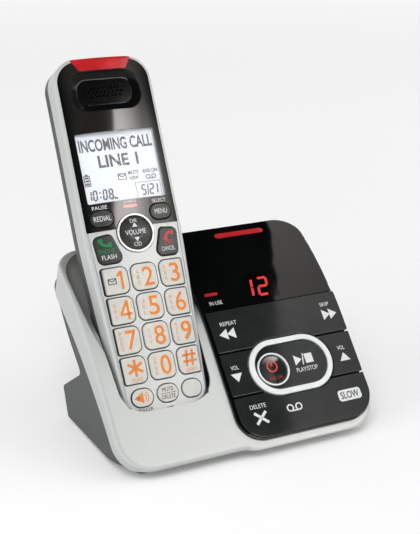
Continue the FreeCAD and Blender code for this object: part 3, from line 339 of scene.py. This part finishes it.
# Inks by name: the material's name, its two colours and the size of its patches.
INKS = {
    "white": ("white_ink", ("D6D8D6", "E2E4E2"), 0.5), "orange": ("orange_ink", ("DA7C30", "E0883C"), 0.5),
    "glow": ("warm_glow_ink", ("EACDB2", "EED6C0"), 2.0), "grey": ("grey_ink", ("444646", "585A5A"), 0.5),
    "black": ("black_ink", ("16181C", "202226"), 0.5), "green": ("green_ink", ("16783E", "1E8448"), 0.5),
    "pink": ("red_ink", ("B8403C", "C64C46"), 0.5), "red": ("bright_red_ink", ("CE3A34", "D8443C"), 0.5),
    "dull_red": ("dull_red_ink", ("96302C", "A43A34"), 0.5),
}


def printed_ink(name, colours, patch):
    """Pad-printed ink: a flat, satin film, a touch uneven where the pad lifted."""
    return patchy_finish(name, patch, colours, Roughness=0.45, IOR=1.5)


def lit_segments():
    """Red light-emitting segments behind smoked acrylic: an even glow with soft clouds."""
    material, tree, shader, place = start_finish("lit_segments", Roughness=0.3, IOR=1.49, Emission_Strength=0.38)
    colour = blotches(tree, place, 1.5, ("BE2A2A", "D23434"))
    for socket in ("Base Color", "Emission Color"):
        tree.links.new(colour, shader.inputs[socket])
    return material


# ---- Prints ----
# Marks are drawn flat about the middle of their place, then laid on the part that carries them. A mark is the
# function that draws it, its place across and up, its width and its height, and what else the function takes.

PRINT_THICKNESS = 0.08
# The glow lies under the figure printed on it.
GLOW_THICKNESS = 0.05
# How far the back of a print reaches into its carrier, and how far a print on another print is lifted.
PRINT_SINK = 0.03
PRINT_RISE = 0.05
# Width of the strips that a print is cut in, so that it bends with its carrier.
PRINT_STEP = 0.9
# Height over the face from which the carrier is looked for.
PRINT_REACH = 30.0
# Points of a mark that are nearer than this are one.
MERGE_GAP = 0.001
# Curved strokes: degrees to a step.
ARC_STEP = 15

BODY_OF = {node: body for body, nodes in frame["record"]["behaviour"]["bodies"].items() for node in nodes}
SURFACES = {}


def on_deck(x, along):
    """Frame on the deck of the base at a distance across and a distance up its slope."""
    turn = max(0.0, (along - BEND_START) / BEND_RADIUS)
    y = min(along, BEND_START) + BEND_RADIUS * math.sin(turn)
    z = BEND_RADIUS * (math.cos(turn) - 1)
    return DECK @ Matrix.Translation((x, y, z)) @ Matrix.Rotation(-turn, 4, "X")


def on_handset(x, along):
    """Frame on the face of the handset at a distance across and a distance up from its foot."""
    return HANDSET @ Matrix.Translation((x, along, 0))


def turned(x, y, turn=0.0, wide=1.0, tall=1.0, slant=0.0):
    """Flat placing: a size, a slant, a turn in degrees and a shift."""
    lean = Matrix(((1, slant, 0, 0), (0, 1, 0, 0), (0, 0, 1, 0), (0, 0, 0, 1)))
    sized = lean @ Matrix.Diagonal((wide, tall, 1, 1))
    return Matrix.Translation((x, y, 0)) @ Matrix.Rotation(math.radians(turn), 4, "Z") @ sized


def word(form, body, x, y, wide, tall, bold=0.0):
    """Word in plain upright letters, fitted to a width and a height."""
    curve = bpy.data.curves.new("word", "FONT")
    curve.body = body
    curve.offset = bold
    curve.resolution_u = 5
    holder = bpy.data.objects.new("word", curve)
    mesh = bpy.data.meshes.new_from_object(holder)
    before = set(form.verts)
    form.from_mesh(mesh)
    made = [vertex for vertex in form.verts if vertex not in before]
    for axis, middle, size in ((0, x, wide), (1, y, tall)):
        low = min(vertex.co[axis] for vertex in made)
        high = max(vertex.co[axis] for vertex in made)
        for vertex in made:
            vertex.co[axis] = middle + ((vertex.co[axis] - low) / (high - low) - 0.5) * size
    bmesh.ops.remove_doubles(form, verts=made, dist=MERGE_GAP)
    bpy.data.objects.remove(holder)
    bpy.data.curves.remove(curve)
    bpy.data.meshes.remove(mesh)


def bar(form, x, y, wide, tall, turn=0.0, slant=0.0):
    """Straight bar."""
    bmesh.ops.create_grid(form, x_segments=1, y_segments=1, size=0.5, matrix=turned(x, y, turn, wide, tall, slant))


def wedge(form, x, y, wide, tall, turn=0.0):
    """Triangle that points along its own X, with a width across and a length."""
    shape = turned(x, y, turn) @ Matrix.Diagonal((tall / 1.5, wide / math.sqrt(3), 1, 1))
    bmesh.ops.create_circle(form, cap_ends=True, segments=3, radius=1.0,
                            matrix=shape @ Matrix.Rotation(math.radians(-90), 4, "Z"))


def pill(form, x, y, wide, tall):
    """Round-cornered plate."""
    corner = min(wide, tall) * 0.28
    made = bmesh.ops.create_grid(form, x_segments=1, y_segments=1, size=0.5, matrix=turned(x, y, 0, wide, tall))
    bmesh.ops.bevel(form, geom=made["verts"], offset=corner, offset_type="OFFSET", affect="VERTICES", segments=5,
                    profile=0.5, material=-1)


def band(form, x, y, radius, wide, start=0.0, sweep=360.0):
    """Flat ring, or a part of one."""
    ray = Vector((math.cos(math.radians(start)), math.sin(math.radians(start)), 0))
    ends = [form.verts.new(Vector((x, y, 0)) + ray * reach) for reach in (radius - wide / 2, radius + wide / 2)]
    edge = form.edges.new(ends)
    bmesh.ops.spin(form, geom=ends + [edge], cent=(x, y, 0), axis=(0, 0, 1), angle=math.radians(sweep),
                   steps=max(4, round(abs(sweep) / ARC_STEP)), use_merge=sweep == 360.0)


def envelope(form, x, y, wide, tall):
    """Outline of an envelope with its flap."""
    line = wide * 0.11
    drop = tall * 0.45
    flap = math.hypot(drop, wide / 2)
    fall = math.degrees(math.atan2(drop, wide / 2))
    for side in (-1, 1):
        bar(form, x + side * (wide - line) / 2, y, line, tall)
        bar(form, x, y + side * (tall - line) / 2, wide, line)
        bar(form, x + side * wide * 0.24, y + tall * 0.16, flap, line, side * fall)


def tape(form, x, y, wide):
    """Two reels joined by their tape."""
    radius, line = wide * 0.2, wide * 0.09
    for side in (-1, 1):
        band(form, x + side * (wide / 2 - radius), y, radius, line)
    bar(form, x, y - radius, wide - 2 * radius, line)


def receiver(form, x, y, wide, turn):
    """Telephone receiver: a bowed grip with a cap at each end."""
    bow, grip, cap = wide * 0.62, wide * 0.2, (wide * 0.26, wide * 0.34)
    half_sweep, cap_turn, cap_reach = 44, 42, bow * 0.93
    centre = Vector((x, y, 0)) + Matrix.Rotation(math.radians(turn), 3, "Z") @ Vector((0, bow * 0.8, 0))
    band(form, centre.x, centre.y, bow, grip, turn - 90 - half_sweep, 2.0 * half_sweep)
    for side in (-1, 1):
        lean = turn + side * cap_turn
        end = centre + Matrix.Rotation(math.radians(lean), 3, "Z") @ Vector((0, -cap_reach, 0))
        bar(form, end.x, end.y, *cap, lean)


# Segments that are on in each figure: a at the top, g in the middle, d at the foot, b c right and f e left.
SEGMENTS = {"0": "abcdef", "1": "bc", "2": "abged", "5": "afgcd", "8": "abcdefg"}


def digit(form, figure, x, y, wide, tall, line, slant):
    """Seven-segment figure with leaning strokes."""
    half, step = wide / 2 - line / 2, tall / 2 - line / 2
    gap = line * 0.35
    level, upright = (2 * half - gap, line, 0, 0), (line, step - gap, 0, slant)
    places = {"a": (0, step, level), "g": (0, 0, level), "d": (0, -step, level),
              "b": (half, step / 2, upright), "c": (half, -step / 2, upright),
              "f": (-half, step / 2, upright), "e": (-half, -step / 2, upright)}
    for segment in SEGMENTS[figure]:
        dx, dy, shape = places[segment]
        bar(form, x + dx + slant * dy, y + dy, *shape)


def cut_in_strips(form):
    """Cuts flat marks across and along in narrow strips, so that they bend with the face below."""
    for axis in (0, 1):
        spots = [vertex.co[axis] for vertex in form.verts]
        across = Vector((1 - axis, axis, 0))
        for i in range(1, int((max(spots) - min(spots)) / PRINT_STEP) + 1):
            bmesh.ops.bisect_plane(form, geom=form.verts[:] + form.edges[:] + form.faces[:], dist=0.0001,
                                   plane_co=across * (min(spots) + i * PRINT_STEP), plane_no=across)


def surface_of(carrier):
    """Surface of a CAD node, for rays."""
    if carrier not in SURFACES:
        mesh = frame["nodes"][carrier].data
        mesh.calc_loop_triangles()
        SURFACES[carrier] = BVHTree.FromPolygons([vertex.co for vertex in mesh.vertices],
                                                 [face.vertices for face in mesh.loop_triangles])
    return SURFACES[carrier]


def put(name, form, finish):
    """Makes a piece of a drawn form in one material and adds it to the scene."""
    mesh = bpy.data.meshes.new(name)
    form.to_mesh(mesh)
    form.free()
    mesh.materials.append(finish)
    piece = bpy.data.objects.new(name, mesh)
    bpy.context.scene.collection.objects.link(piece)
    return piece


def lay(name, place, carrier, ink, marks, thickness=PRINT_THICKNESS, rise=0.0):
    """Lays marks on the face of the part that carries them, as a thin closed print that moves with it."""
    form = bmesh.new()
    for make, *values in marks:
        make(form, *values)
    cut_in_strips(form)
    form.normal_update()
    bmesh.ops.reverse_faces(form, faces=[face for face in form.faces if face.normal.z < 0])
    top = bmesh.ops.extrude_face_region(form, geom=form.faces[:])["geom"]
    bmesh.ops.translate(form, vec=(0, 0, thickness), verts=[v for v in top if isinstance(v, bmesh.types.BMVert)])
    bmesh.ops.recalc_face_normals(form, faces=form.faces[:])
    surface = surface_of(carrier)
    down = place.to_3x3() @ Vector((0, 0, -1))
    for vertex in form.verts:
        start = place @ Vector((vertex.co.x, vertex.co.y, PRINT_REACH))
        hit = surface.ray_cast(start * MM, down)[0]
        vertex.co = hit - down * (vertex.co.z - PRINT_SINK + rise) * MM
    piece = put(name, form, ink)
    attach(piece, BODY_OF[carrier])


def lay_all(rows, face, inks):
    """Lays the prints of a table, each at its place on a face."""
    for name, across, along, carrier, ink, marks, *rise in rows:
        lay(name, face(across, along), carrier, inks[ink], marks, PRINT_THICKNESS, *rise)


# Number keys: where their columns and rows are, the large figures and the small letters beside them.
KEY_COLUMNS = (-14.4, 0.0, 14.4)
KEY_ROWS = (68.2, 53.7, 39.2, 24.7)
NUMBER_KEYS = [
    ("key_1", "1", ""), ("key_2", "2", "ABC"), ("key_3", "3", "DEF"),
    ("key_4", "4", "GHI"), ("key_5", "5", "JKL"), ("key_6", "6", "MNO"),
    ("key_7", "7", "PQRS"), ("key_8", "8", "TUV"), ("key_9", "9", "WXYZ"),
    ("key_star", "*", ""), ("key_0", "0", "OPER"), ("key_hash", "#", "")]
FIGURE_X = 1.6
FIGURE_TALL = 9.3
FIGURE_WIDE = {"2": 5.3, "3": 5.3, "4": 5.8, "5": 5.3, "6": 5.4, "7": 5.3, "8": 5.4, "9": 5.4, "0": 5.4}
LETTERS_X = -3.5
LETTER_TALL = 1.9
LETTER_PITCH = 2.698
COLUMN_TALL = 9.4
LOW_WORDS = {"*": [(word, "TONE", 0.6, -4.7, 5.6, 1.7)], "#": [(word, "QUIET", 0.2, -4.7, 6.0, 1.7)]}


def letter_column(text):
    """Small letters stacked in a narrow column."""
    pitch = min(LETTER_PITCH, COLUMN_TALL / max(len(text), 1))
    top = pitch * (len(text) - 1) / 2
    return [(word, mark, LETTERS_X, top - i * pitch, LETTER_TALL * (0.14 if mark == "I" else 0.62), LETTER_TALL)
            for i, mark in enumerate(text)]


def figure_strokes(figure):
    """Strokes of one large figure or sign."""
    if figure == "1":
        return [(bar, 2.6, 0, 1.25, 9.0), (bar, 1.5, 3.1, 1.1, 3.0, -42)]
    if figure == "4":
        return [(bar, FIGURE_X + 1.1, 0, 1.2, FIGURE_TALL), (bar, FIGURE_X, -2.0, FIGURE_WIDE["4"], 1.15),
                (bar, FIGURE_X - 0.7, 1.3, 1.15, 6.9, -31)]
    if figure == "*":
        return [(bar, 0.6, 0.9, 1.35, 8.2, turn) for turn in (0, 57, -57)]
    if figure == "#":
        return ([(bar, 0.2 + dx, 1.0, 1.15, 8.0, 0, 0.14) for dx in (-1.55, 1.55)]
                + [(bar, 0.2, 1.0 + dy, 7.6, 1.15) for dy in (-1.5, 1.5)])
    return [(word, figure, FIGURE_X, 0.0, FIGURE_WIDE[figure], FIGURE_TALL, 0.008)]


def print_number_keys(inks):
    """Large orange figures with their letters, in a pale warm glow."""
    for i, (node, figure, text) in enumerate(NUMBER_KEYS):
        place = on_handset(KEY_COLUMNS[i % 3], KEY_ROWS[i // 3])
        if text:
            glow = (word, figure, FIGURE_X, 0.0, FIGURE_WIDE[figure] + 0.6, FIGURE_TALL + 0.5, 0.04)
            lay("print_glow_" + node, place, node, inks["glow"], [glow], GLOW_THICKNESS)
        marks = figure_strokes(figure) + letter_column(text) + LOW_WORDS.get(figure, [])
        lay("print_" + node, place, node, inks["orange"], marks)


# Words and signs of the other keys and of the face panel: name, place on the handset, carrier, ink and marks.
HANDSET_PRINTS = [
    ("print_key_1_message", KEY_COLUMNS[0], KEY_ROWS[0], "key_1", "grey", [(envelope, -2.2, -0.1, 4.2, 3.0)]),
    ("print_pause", -15.4, 104.4, "face_panel", "white", [(word, "PAUSE", 0, 0, 7.4, 1.9)]),
    ("print_charge", 0, 105.5, "face_panel", "white", [(word, "CHARGE", 0, 0, 6.6, 1.3)]),
    ("print_select", 15.6, 104.4, "face_panel", "white", [(word, "SELECT", 0, 0, 7.6, 1.9)]),
    ("print_redial", -15.3, 98.9, "redial_key", "white", [(word, "REDIAL", 0, 0, 8.6, 2.5)]),
    ("print_menu", 15.3, 98.9, "menu_key", "white", [(word, "MENU", 0, 0, 6.8, 2.5)]),
    ("print_navigation", 0, 89.9, "navigation_key", "white", [
        (word, "DIR", 0, 6.0, 3.6, 1.9), (wedge, 0, 3.6, 2.6, 2.2, 90), (word, "VOLUME", 0, 0.4, 10.6, 2.4),
        (wedge, 0, -3.0, 2.6, 2.2, -90), (word, "CID", 0, -5.6, 3.8, 1.9)]),
    ("print_phone_sign", -15.7, 83.6, "phone_key", "green", [
        (receiver, -0.9, 3.1, 6.6, -28), (word, "PHONE", -0.6, -0.6, 8.2, 2.3)]),
    ("print_flash", -15.7, 83.6, "phone_key", "white", [(word, "FLASH", 0.1, -3.6, 7.2, 2.3)]),
    ("print_off_sign", 15.7, 83.6, "off_key", "pink", [
        (receiver, 0.8, 3.1, 6.2, 217), (word, "OFF", 0.4, -0.6, 4.8, 2.3)]),
    ("print_cancel", 15.7, 83.6, "off_key", "white", [(word, "CANCEL", -0.4, -3.5, 7.4, 2.1)]),
    ("print_speaker_key", -12.9, 11.2, "speaker_key", "orange", [
        (bar, -2.3, 0, 1.8, 2.0), (wedge, -1.4, 0, 5.0, 4.4, 180), (bar, -0.1, 0, 0.7, 5.0),
        (band, -0.4, 0, 2.0, 0.45, -52, 104), (band, -0.4, 0, 3.2, 0.45, -52, 104)]),
    ("print_speaker_word", -12.9, 5.4, "handset_front_housing", "black", [(word, "SPEAKER", 0, 0, 8.6, 1.7)]),
    ("print_mute_key", 0, 11.2, "mute_key", "black", [
        (word, "MUTE", 0, 1.75, 5.8, 1.9), (bar, 0, 0, 7.8, 0.22), (word, "DELETE", 0, -1.75, 7.0, 1.9)]),
]

# What the liquid crystal shows. Its words are a little bold, and its figures share a width and a height.
LCD_BOLD = 0.02
LCD_FIGURE = (2.5, 5.4)
LCD_SLANT = 0.08
CLOCK_Y = -13.0
DATE_X, DATE_Y = 12.9, -12.9
BATTERY_X, BATTERY_Y = -17.9, -5.5


def display_marks():
    """Words, figures and signs that the liquid crystal shows."""
    marks = [
        (word, "INCOMING CALL", 0.2, 11.7, 38.4, 6.2, 0.028), (word, "LINE 1", 0.0, 3.4, 21.0, 6.2, 0.028),
        (envelope, 0.3, -5.2, 4.4, 3.3), (word, "MUTE", 6.5, -3.6, 5.3, 1.9, LCD_BOLD),
        (word, "NEW", 6.5, -6.4, 4.6, 1.9, LCD_BOLD), (word, "ANS ON", 15.2, -3.6, 8.0, 2.0, LCD_BOLD),
        (tape, 15.3, -6.6, 5.0), (word, "PM", -5.4, -15.2, 2.8, 1.5, LCD_BOLD)]
    for side in (-1, 1):
        marks += [(bar, DATE_X + side * 6.5, DATE_Y, 0.25, 7.8), (bar, DATE_X, DATE_Y + side * 3.9, 13.2, 0.25),
                  (bar, BATTERY_X + side * 1.4, BATTERY_Y, 0.5, 5.0),
                  (bar, BATTERY_X, BATTERY_Y + side * 2.5, 3.0, 0.5), (bar, -12.7, CLOCK_Y + side * 1.1, 0.8, 0.8)]
    marks += [(bar, BATTERY_X, BATTERY_Y + step, 1.9, 1.0) for step in (-1.5, 0.0, 1.5)]
    marks.append((bar, BATTERY_X, BATTERY_Y + 3.0, 1.4, 0.8))
    for figure, x in (("1", -18.2), ("0", -15.3), ("0", -10.2), ("8", -7.1)):
        marks.append((digit, figure, x, CLOCK_Y, *LCD_FIGURE, 0.8, LCD_SLANT))
    for figure, x in (("5", 10.2), ("2", 14.4), ("1", 16.6)):
        marks.append((digit, figure, x, DATE_Y, *LCD_FIGURE, 0.7, LCD_SLANT))
    marks.append((bar, 12.4, DATE_Y, 0.55, 5.6, -8))
    return marks


# Words and signs of the base's buttons, and the lit figures of the message counter, in the same order.
BASE_PRINTS = [
    ("print_counter", 28.8, 32.7, "message_display", "lit", [
        (digit, "1", -6.1, -0.3, 6.0, 11.2, 1.4, 0.2), (digit, "2", 2.4, -0.3, 6.4, 11.2, 1.4, 0.2)]),
    ("print_in_use", 2.2, 27.2, "control_panel", "white", [(word, "IN USE", 0, 0, 7.0, 2.1)]),
    ("print_repeat", 3.0, 9.7, "repeat_skip_rocker", "white", [
        (word, "REPEAT", 1.6, 5.5, 9.2, 2.1), (wedge, -2.1, 0, 5.8, 4.5, 180), (wedge, 2.1, 0, 5.8, 4.5, 180)]),
    ("print_skip", 61.1, 10.3, "repeat_skip_rocker", "white", [
        (word, "SKIP", -0.4, 5.7, 5.2, 2.1), (wedge, -2.0, 0, 5.8, 4.3), (wedge, 2.0, 0, 5.8, 4.3)]),
    ("print_volume_down", 0.1, -12.6, "volume_down_button", "white", [
        (word, "VOL", 0.1, 4.5, 4.2, 2.1), (wedge, 0, 0, 6.0, 4.4, -90)]),
    ("print_volume_up", 61.5, -14.3, "volume_up_button", "white", [
        (word, "VOL", -0.3, 5.6, 4.2, 2.1), (wedge, 0, 0, 6.0, 4.4, 90)]),
    ("print_play", 38.5, -11.7, "play_stop_button", "white", [
        (wedge, -3.9, 1.2, 5.4, 4.2), (bar, -0.4, 1.2, 0.6, 6.0, -12), (bar, 3.0, 1.2, 4.4, 5.0),
        (word, "PLAY/STOP", 0.3, -4.1, 12.0, 2.3)]),
    ("print_answer_sign", 20.3, -11.2, "answer_on_button", "red", [
        (band, 0, 0, 2.6, 0.75, 118, 304), (bar, 0, 2.0, 0.75, 3.6)]),
    ("print_answer_word", 20.3, -17.2, "answer_on_button", "dull_red", [(word, "ANS ON", 0, 0, 7.6, 1.9)]),
    ("print_delete", 5.7, -35.4, "delete_slow_rocker", "white", [
        (word, "DELETE", 0, 6.0, 8.8, 2.1), (bar, 0, 0, 8.6, 1.4, 42), (bar, 0, 0, 8.6, 1.4, -42)]),
    ("print_tape", 24.8, -33.7, "delete_slow_rocker", "white", [(tape, 0, 0, 8.0)]),
    ("print_slow_plate", 56.9, -33.5, "delete_slow_rocker", "white", [(pill, 0, 0, 13.2, 5.8)]),
    ("print_slow", 56.9, -33.5, "delete_slow_rocker", "black", [(word, "SLOW", 0, 0, 10.4, 3.7, 0.01)], PRINT_RISE),
]


def print_all():
    """Mixes the inks and lays every print."""
    inks = {key: printed_ink(*values) for key, values in INKS.items()}
    inks["lit"] = lit_segments()
    print_number_keys(inks)
    lay_all(HANDSET_PRINTS, on_handset, inks)
    lay("print_display", on_handset(0, 123.95), "lcd_screen", inks["black"], display_marks())
    lay_all(BASE_PRINTS, on_deck, inks)


# ---- Stage ----

# Floor: its half width, and how much brighter it looks to the camera at these distances from the object.
FLOOR_SIZE = 3.0
FLOOR_NEAR, FLOOR_AWAY, FLOOR_FAR = 0.15, 0.7, 3.0
LIFT_NEAR, LIFT_AWAY, LIFT_FAR = 0.135, 0.265, 0.36

# Two cards over the set, a dark one and a bright one, seen only in gloss. They meet at an edge, given as pairs of y
# and x, that the gloss panels mirror. Their rows run from the middle by half the length to the front and the back.
CARD_HEIGHT = 1.0
CARD_EDGE = [(1.5, 0.6), (0.45, 0.575), (0.16, 0.537), (0.0, 0.528), (-0.3, 0.545), (-0.5, 0.58), (-0.7, 0.624),
             (-0.8, 0.65), (-0.88, 0.465), (-0.94, 0.46), (-1.17, 0.31), (-1.25, 0.28), (-3.0, 0.28)]
CARD_REACH = 2.5
CARD_MIDDLE = -0.75
CARD_HALF_LENGTH = 2.25
CARD_ROWS = 90
# Glow of the bright card, as factors along its axes: it falls off to the right, is strongest in front, where the
# handset mirrors it, and is weak nearest the camera.
CARD_GLOW = [("X", 0.56, 0.86, 1.4, 0.4), ("Y", -0.78, -0.92, 0.8, 7.5), ("Y", -1.3, -1.6, 1.0, 0.16)]

# Strength of the plain light from all sides, and the lamps: name, place, size and power in watts.
AIR_STRENGTH = 0.42
LAMP_AIM = Vector((0, 0, 0.08))
LAMPS = [("key_lamp", (-0.75, -0.95, 1.6), 1.1, 18), ("side_lamp", (-1.3, -0.1, 0.6), 0.9, 5),
         ("fill_lamp", (1.2, -0.7, 0.9), 1.4, 6)]


def stage_paper():
    """Matt white paper, lit and shaded as any other; to the camera alone it looks brighter, most of all far out."""
    material, tree, shader, place = start_finish(
        "stage_paper", Base_Color=linear("F2F2F2"), Roughness=0.9, Specular_IOR_Level=0.1,
        Emission_Color=linear("FFFFFF"))
    ray = add(tree, "LightPath")
    away = add(tree, "VectorMath", {0: place}, operation="LENGTH").outputs["Value"]
    near = add(tree, "MapRange", {"Value": away, "From Min": FLOOR_NEAR, "From Max": FLOOR_AWAY,
                                  "To Min": LIFT_NEAR, "To Max": LIFT_AWAY})
    far = add(tree, "MapRange", {"Value": away, "From Min": FLOOR_AWAY, "From Max": FLOOR_FAR, "To Max": LIFT_FAR})
    lift = add(tree, "Math", {0: near.outputs["Result"], 1: far.outputs["Result"]}, operation="ADD")
    lift = add(tree, "Math", {0: ray.outputs["Is Camera Ray"], 1: lift.outputs[0]}, operation="MULTIPLY")
    tree.links.new(lift.outputs[0], shader.inputs["Emission Strength"])
    return material


def stage_floor():
    """Plain pale floor that keeps the object's shadow."""
    form = bmesh.new()
    bmesh.ops.create_grid(form, x_segments=1, y_segments=1, size=FLOOR_SIZE)
    floor = put("stage_floor", form, stage_paper())


def edge_at(y):
    """Place of the cards' edge at a distance along the set."""
    for (high, first), (low, second) in zip(CARD_EDGE, CARD_EDGE[1:]):
        if y >= low:
            return second + (first - second) * (y - low) / (high - low)
    return CARD_EDGE[-1][1]


def stage_card(name, side, finish):
    """Card over the set, from the edge out to one side, that only gloss can see."""
    form = bmesh.new()
    bmesh.ops.create_grid(form, x_segments=1, y_segments=CARD_ROWS, size=1.0)
    for vertex in form.verts:
        y = CARD_MIDDLE + vertex.co.y * CARD_HALF_LENGTH
        far = vertex.co.x * side > 0
        vertex.co = (side * CARD_REACH if far else edge_at(y), y, CARD_HEIGHT)
    card = put(name, form, finish)
    for kind in ("camera", "diffuse", "shadow", "transmission"):
        setattr(card, "visible_" + kind, False)


def black_flock():
    """Black flock: gives nothing back."""
    return start_finish("black_flock", Base_Color=linear("080808"), Roughness=1.0, Specular_IOR_Level=0.0)[0]


def lit_paper():
    """Warm grey paper lit from behind, unevenly."""
    material, tree, shader, place = start_finish(
        "lit_paper", Base_Color=linear("000000"), Roughness=1.0, Specular_IOR_Level=0.0,
        Emission_Color=linear("FFF9F6"))
    spot = add(tree, "SeparateXYZ", {"Vector": place})
    power = 1.0
    for axis, start, end, first, last in CARD_GLOW:
        factor = add(tree, "MapRange", {"Value": spot.outputs[axis], "From Min": start, "From Max": end,
                                        "To Min": first, "To Max": last})
        power = add(tree, "Math", {0: power, 1: factor.outputs["Result"]}, operation="MULTIPLY").outputs[0]
    tree.links.new(power, shader.inputs["Emission Strength"])
    return material


def aim_from(holder, place, aim):
    """Adds a lamp or a camera to the scene at a place, pointing at a target."""
    bpy.context.scene.collection.objects.link(holder)
    holder.location = place
    holder.rotation_euler = (aim - Vector(place)).to_track_quat("-Z", "Y").to_euler()


def light(name, place, size, power):
    """Square soft lamp that points at the object and isn't mirrored."""
    lamp = bpy.data.lights.new(name, "AREA")
    lamp.size = size
    lamp.energy = power
    holder = bpy.data.objects.new(name, lamp)
    holder.visible_glossy = False
    aim_from(holder, place, LAMP_AIM)


def white_world():
    """Even studio air: plain light on everything, and pure white to the camera, to gloss and through glass."""
    world = bpy.data.worlds.new("studio")
    bpy.context.scene.world = world
    world.use_nodes = True
    tree = world.node_tree
    tree.nodes.clear()
    ray = add(tree, "LightPath")
    seen = ray.outputs["Is Camera Ray"]
    for kind in ("Is Glossy Ray", "Is Transmission Ray"):
        seen = add(tree, "Math", {0: seen, 1: ray.outputs[kind]}, operation="MAXIMUM").outputs[0]
    air = add(tree, "Background", {"Color": linear("FFFFFF"), "Strength": AIR_STRENGTH})
    white = add(tree, "Background", {"Color": linear("FFFFFF"), "Strength": 1.0})
    mix = add(tree, "MixShader", {0: seen, 1: air.outputs[0], 2: white.outputs[0]})
    add(tree, "OutputWorld", {"Surface": mix.outputs[0]})


def camera():
    """The viewing camera."""
    lens = bpy.data.cameras.new("camera")
    lens.sensor_fit = "VERTICAL"
    lens.sensor_height = SENSOR_HEIGHT
    lens.lens = FOCAL_LENGTH
    lens.shift_x = SHIFT_X
    lens.shift_y = SHIFT_Y
    holder = bpy.data.objects.new("camera", lens)
    aim_from(holder, CAMERA_PLACE, CAMERA_AIM)
    bpy.context.scene.camera = holder


dress_nodes()
print_all()
stage_floor()
stage_card("dark_card", -1, black_flock())
stage_card("bright_card", 1, lit_paper())
white_world()
for lamp in LAMPS:
    light(*lamp)
camera()

bpy.context.scene.view_settings.view_transform = "Standard"
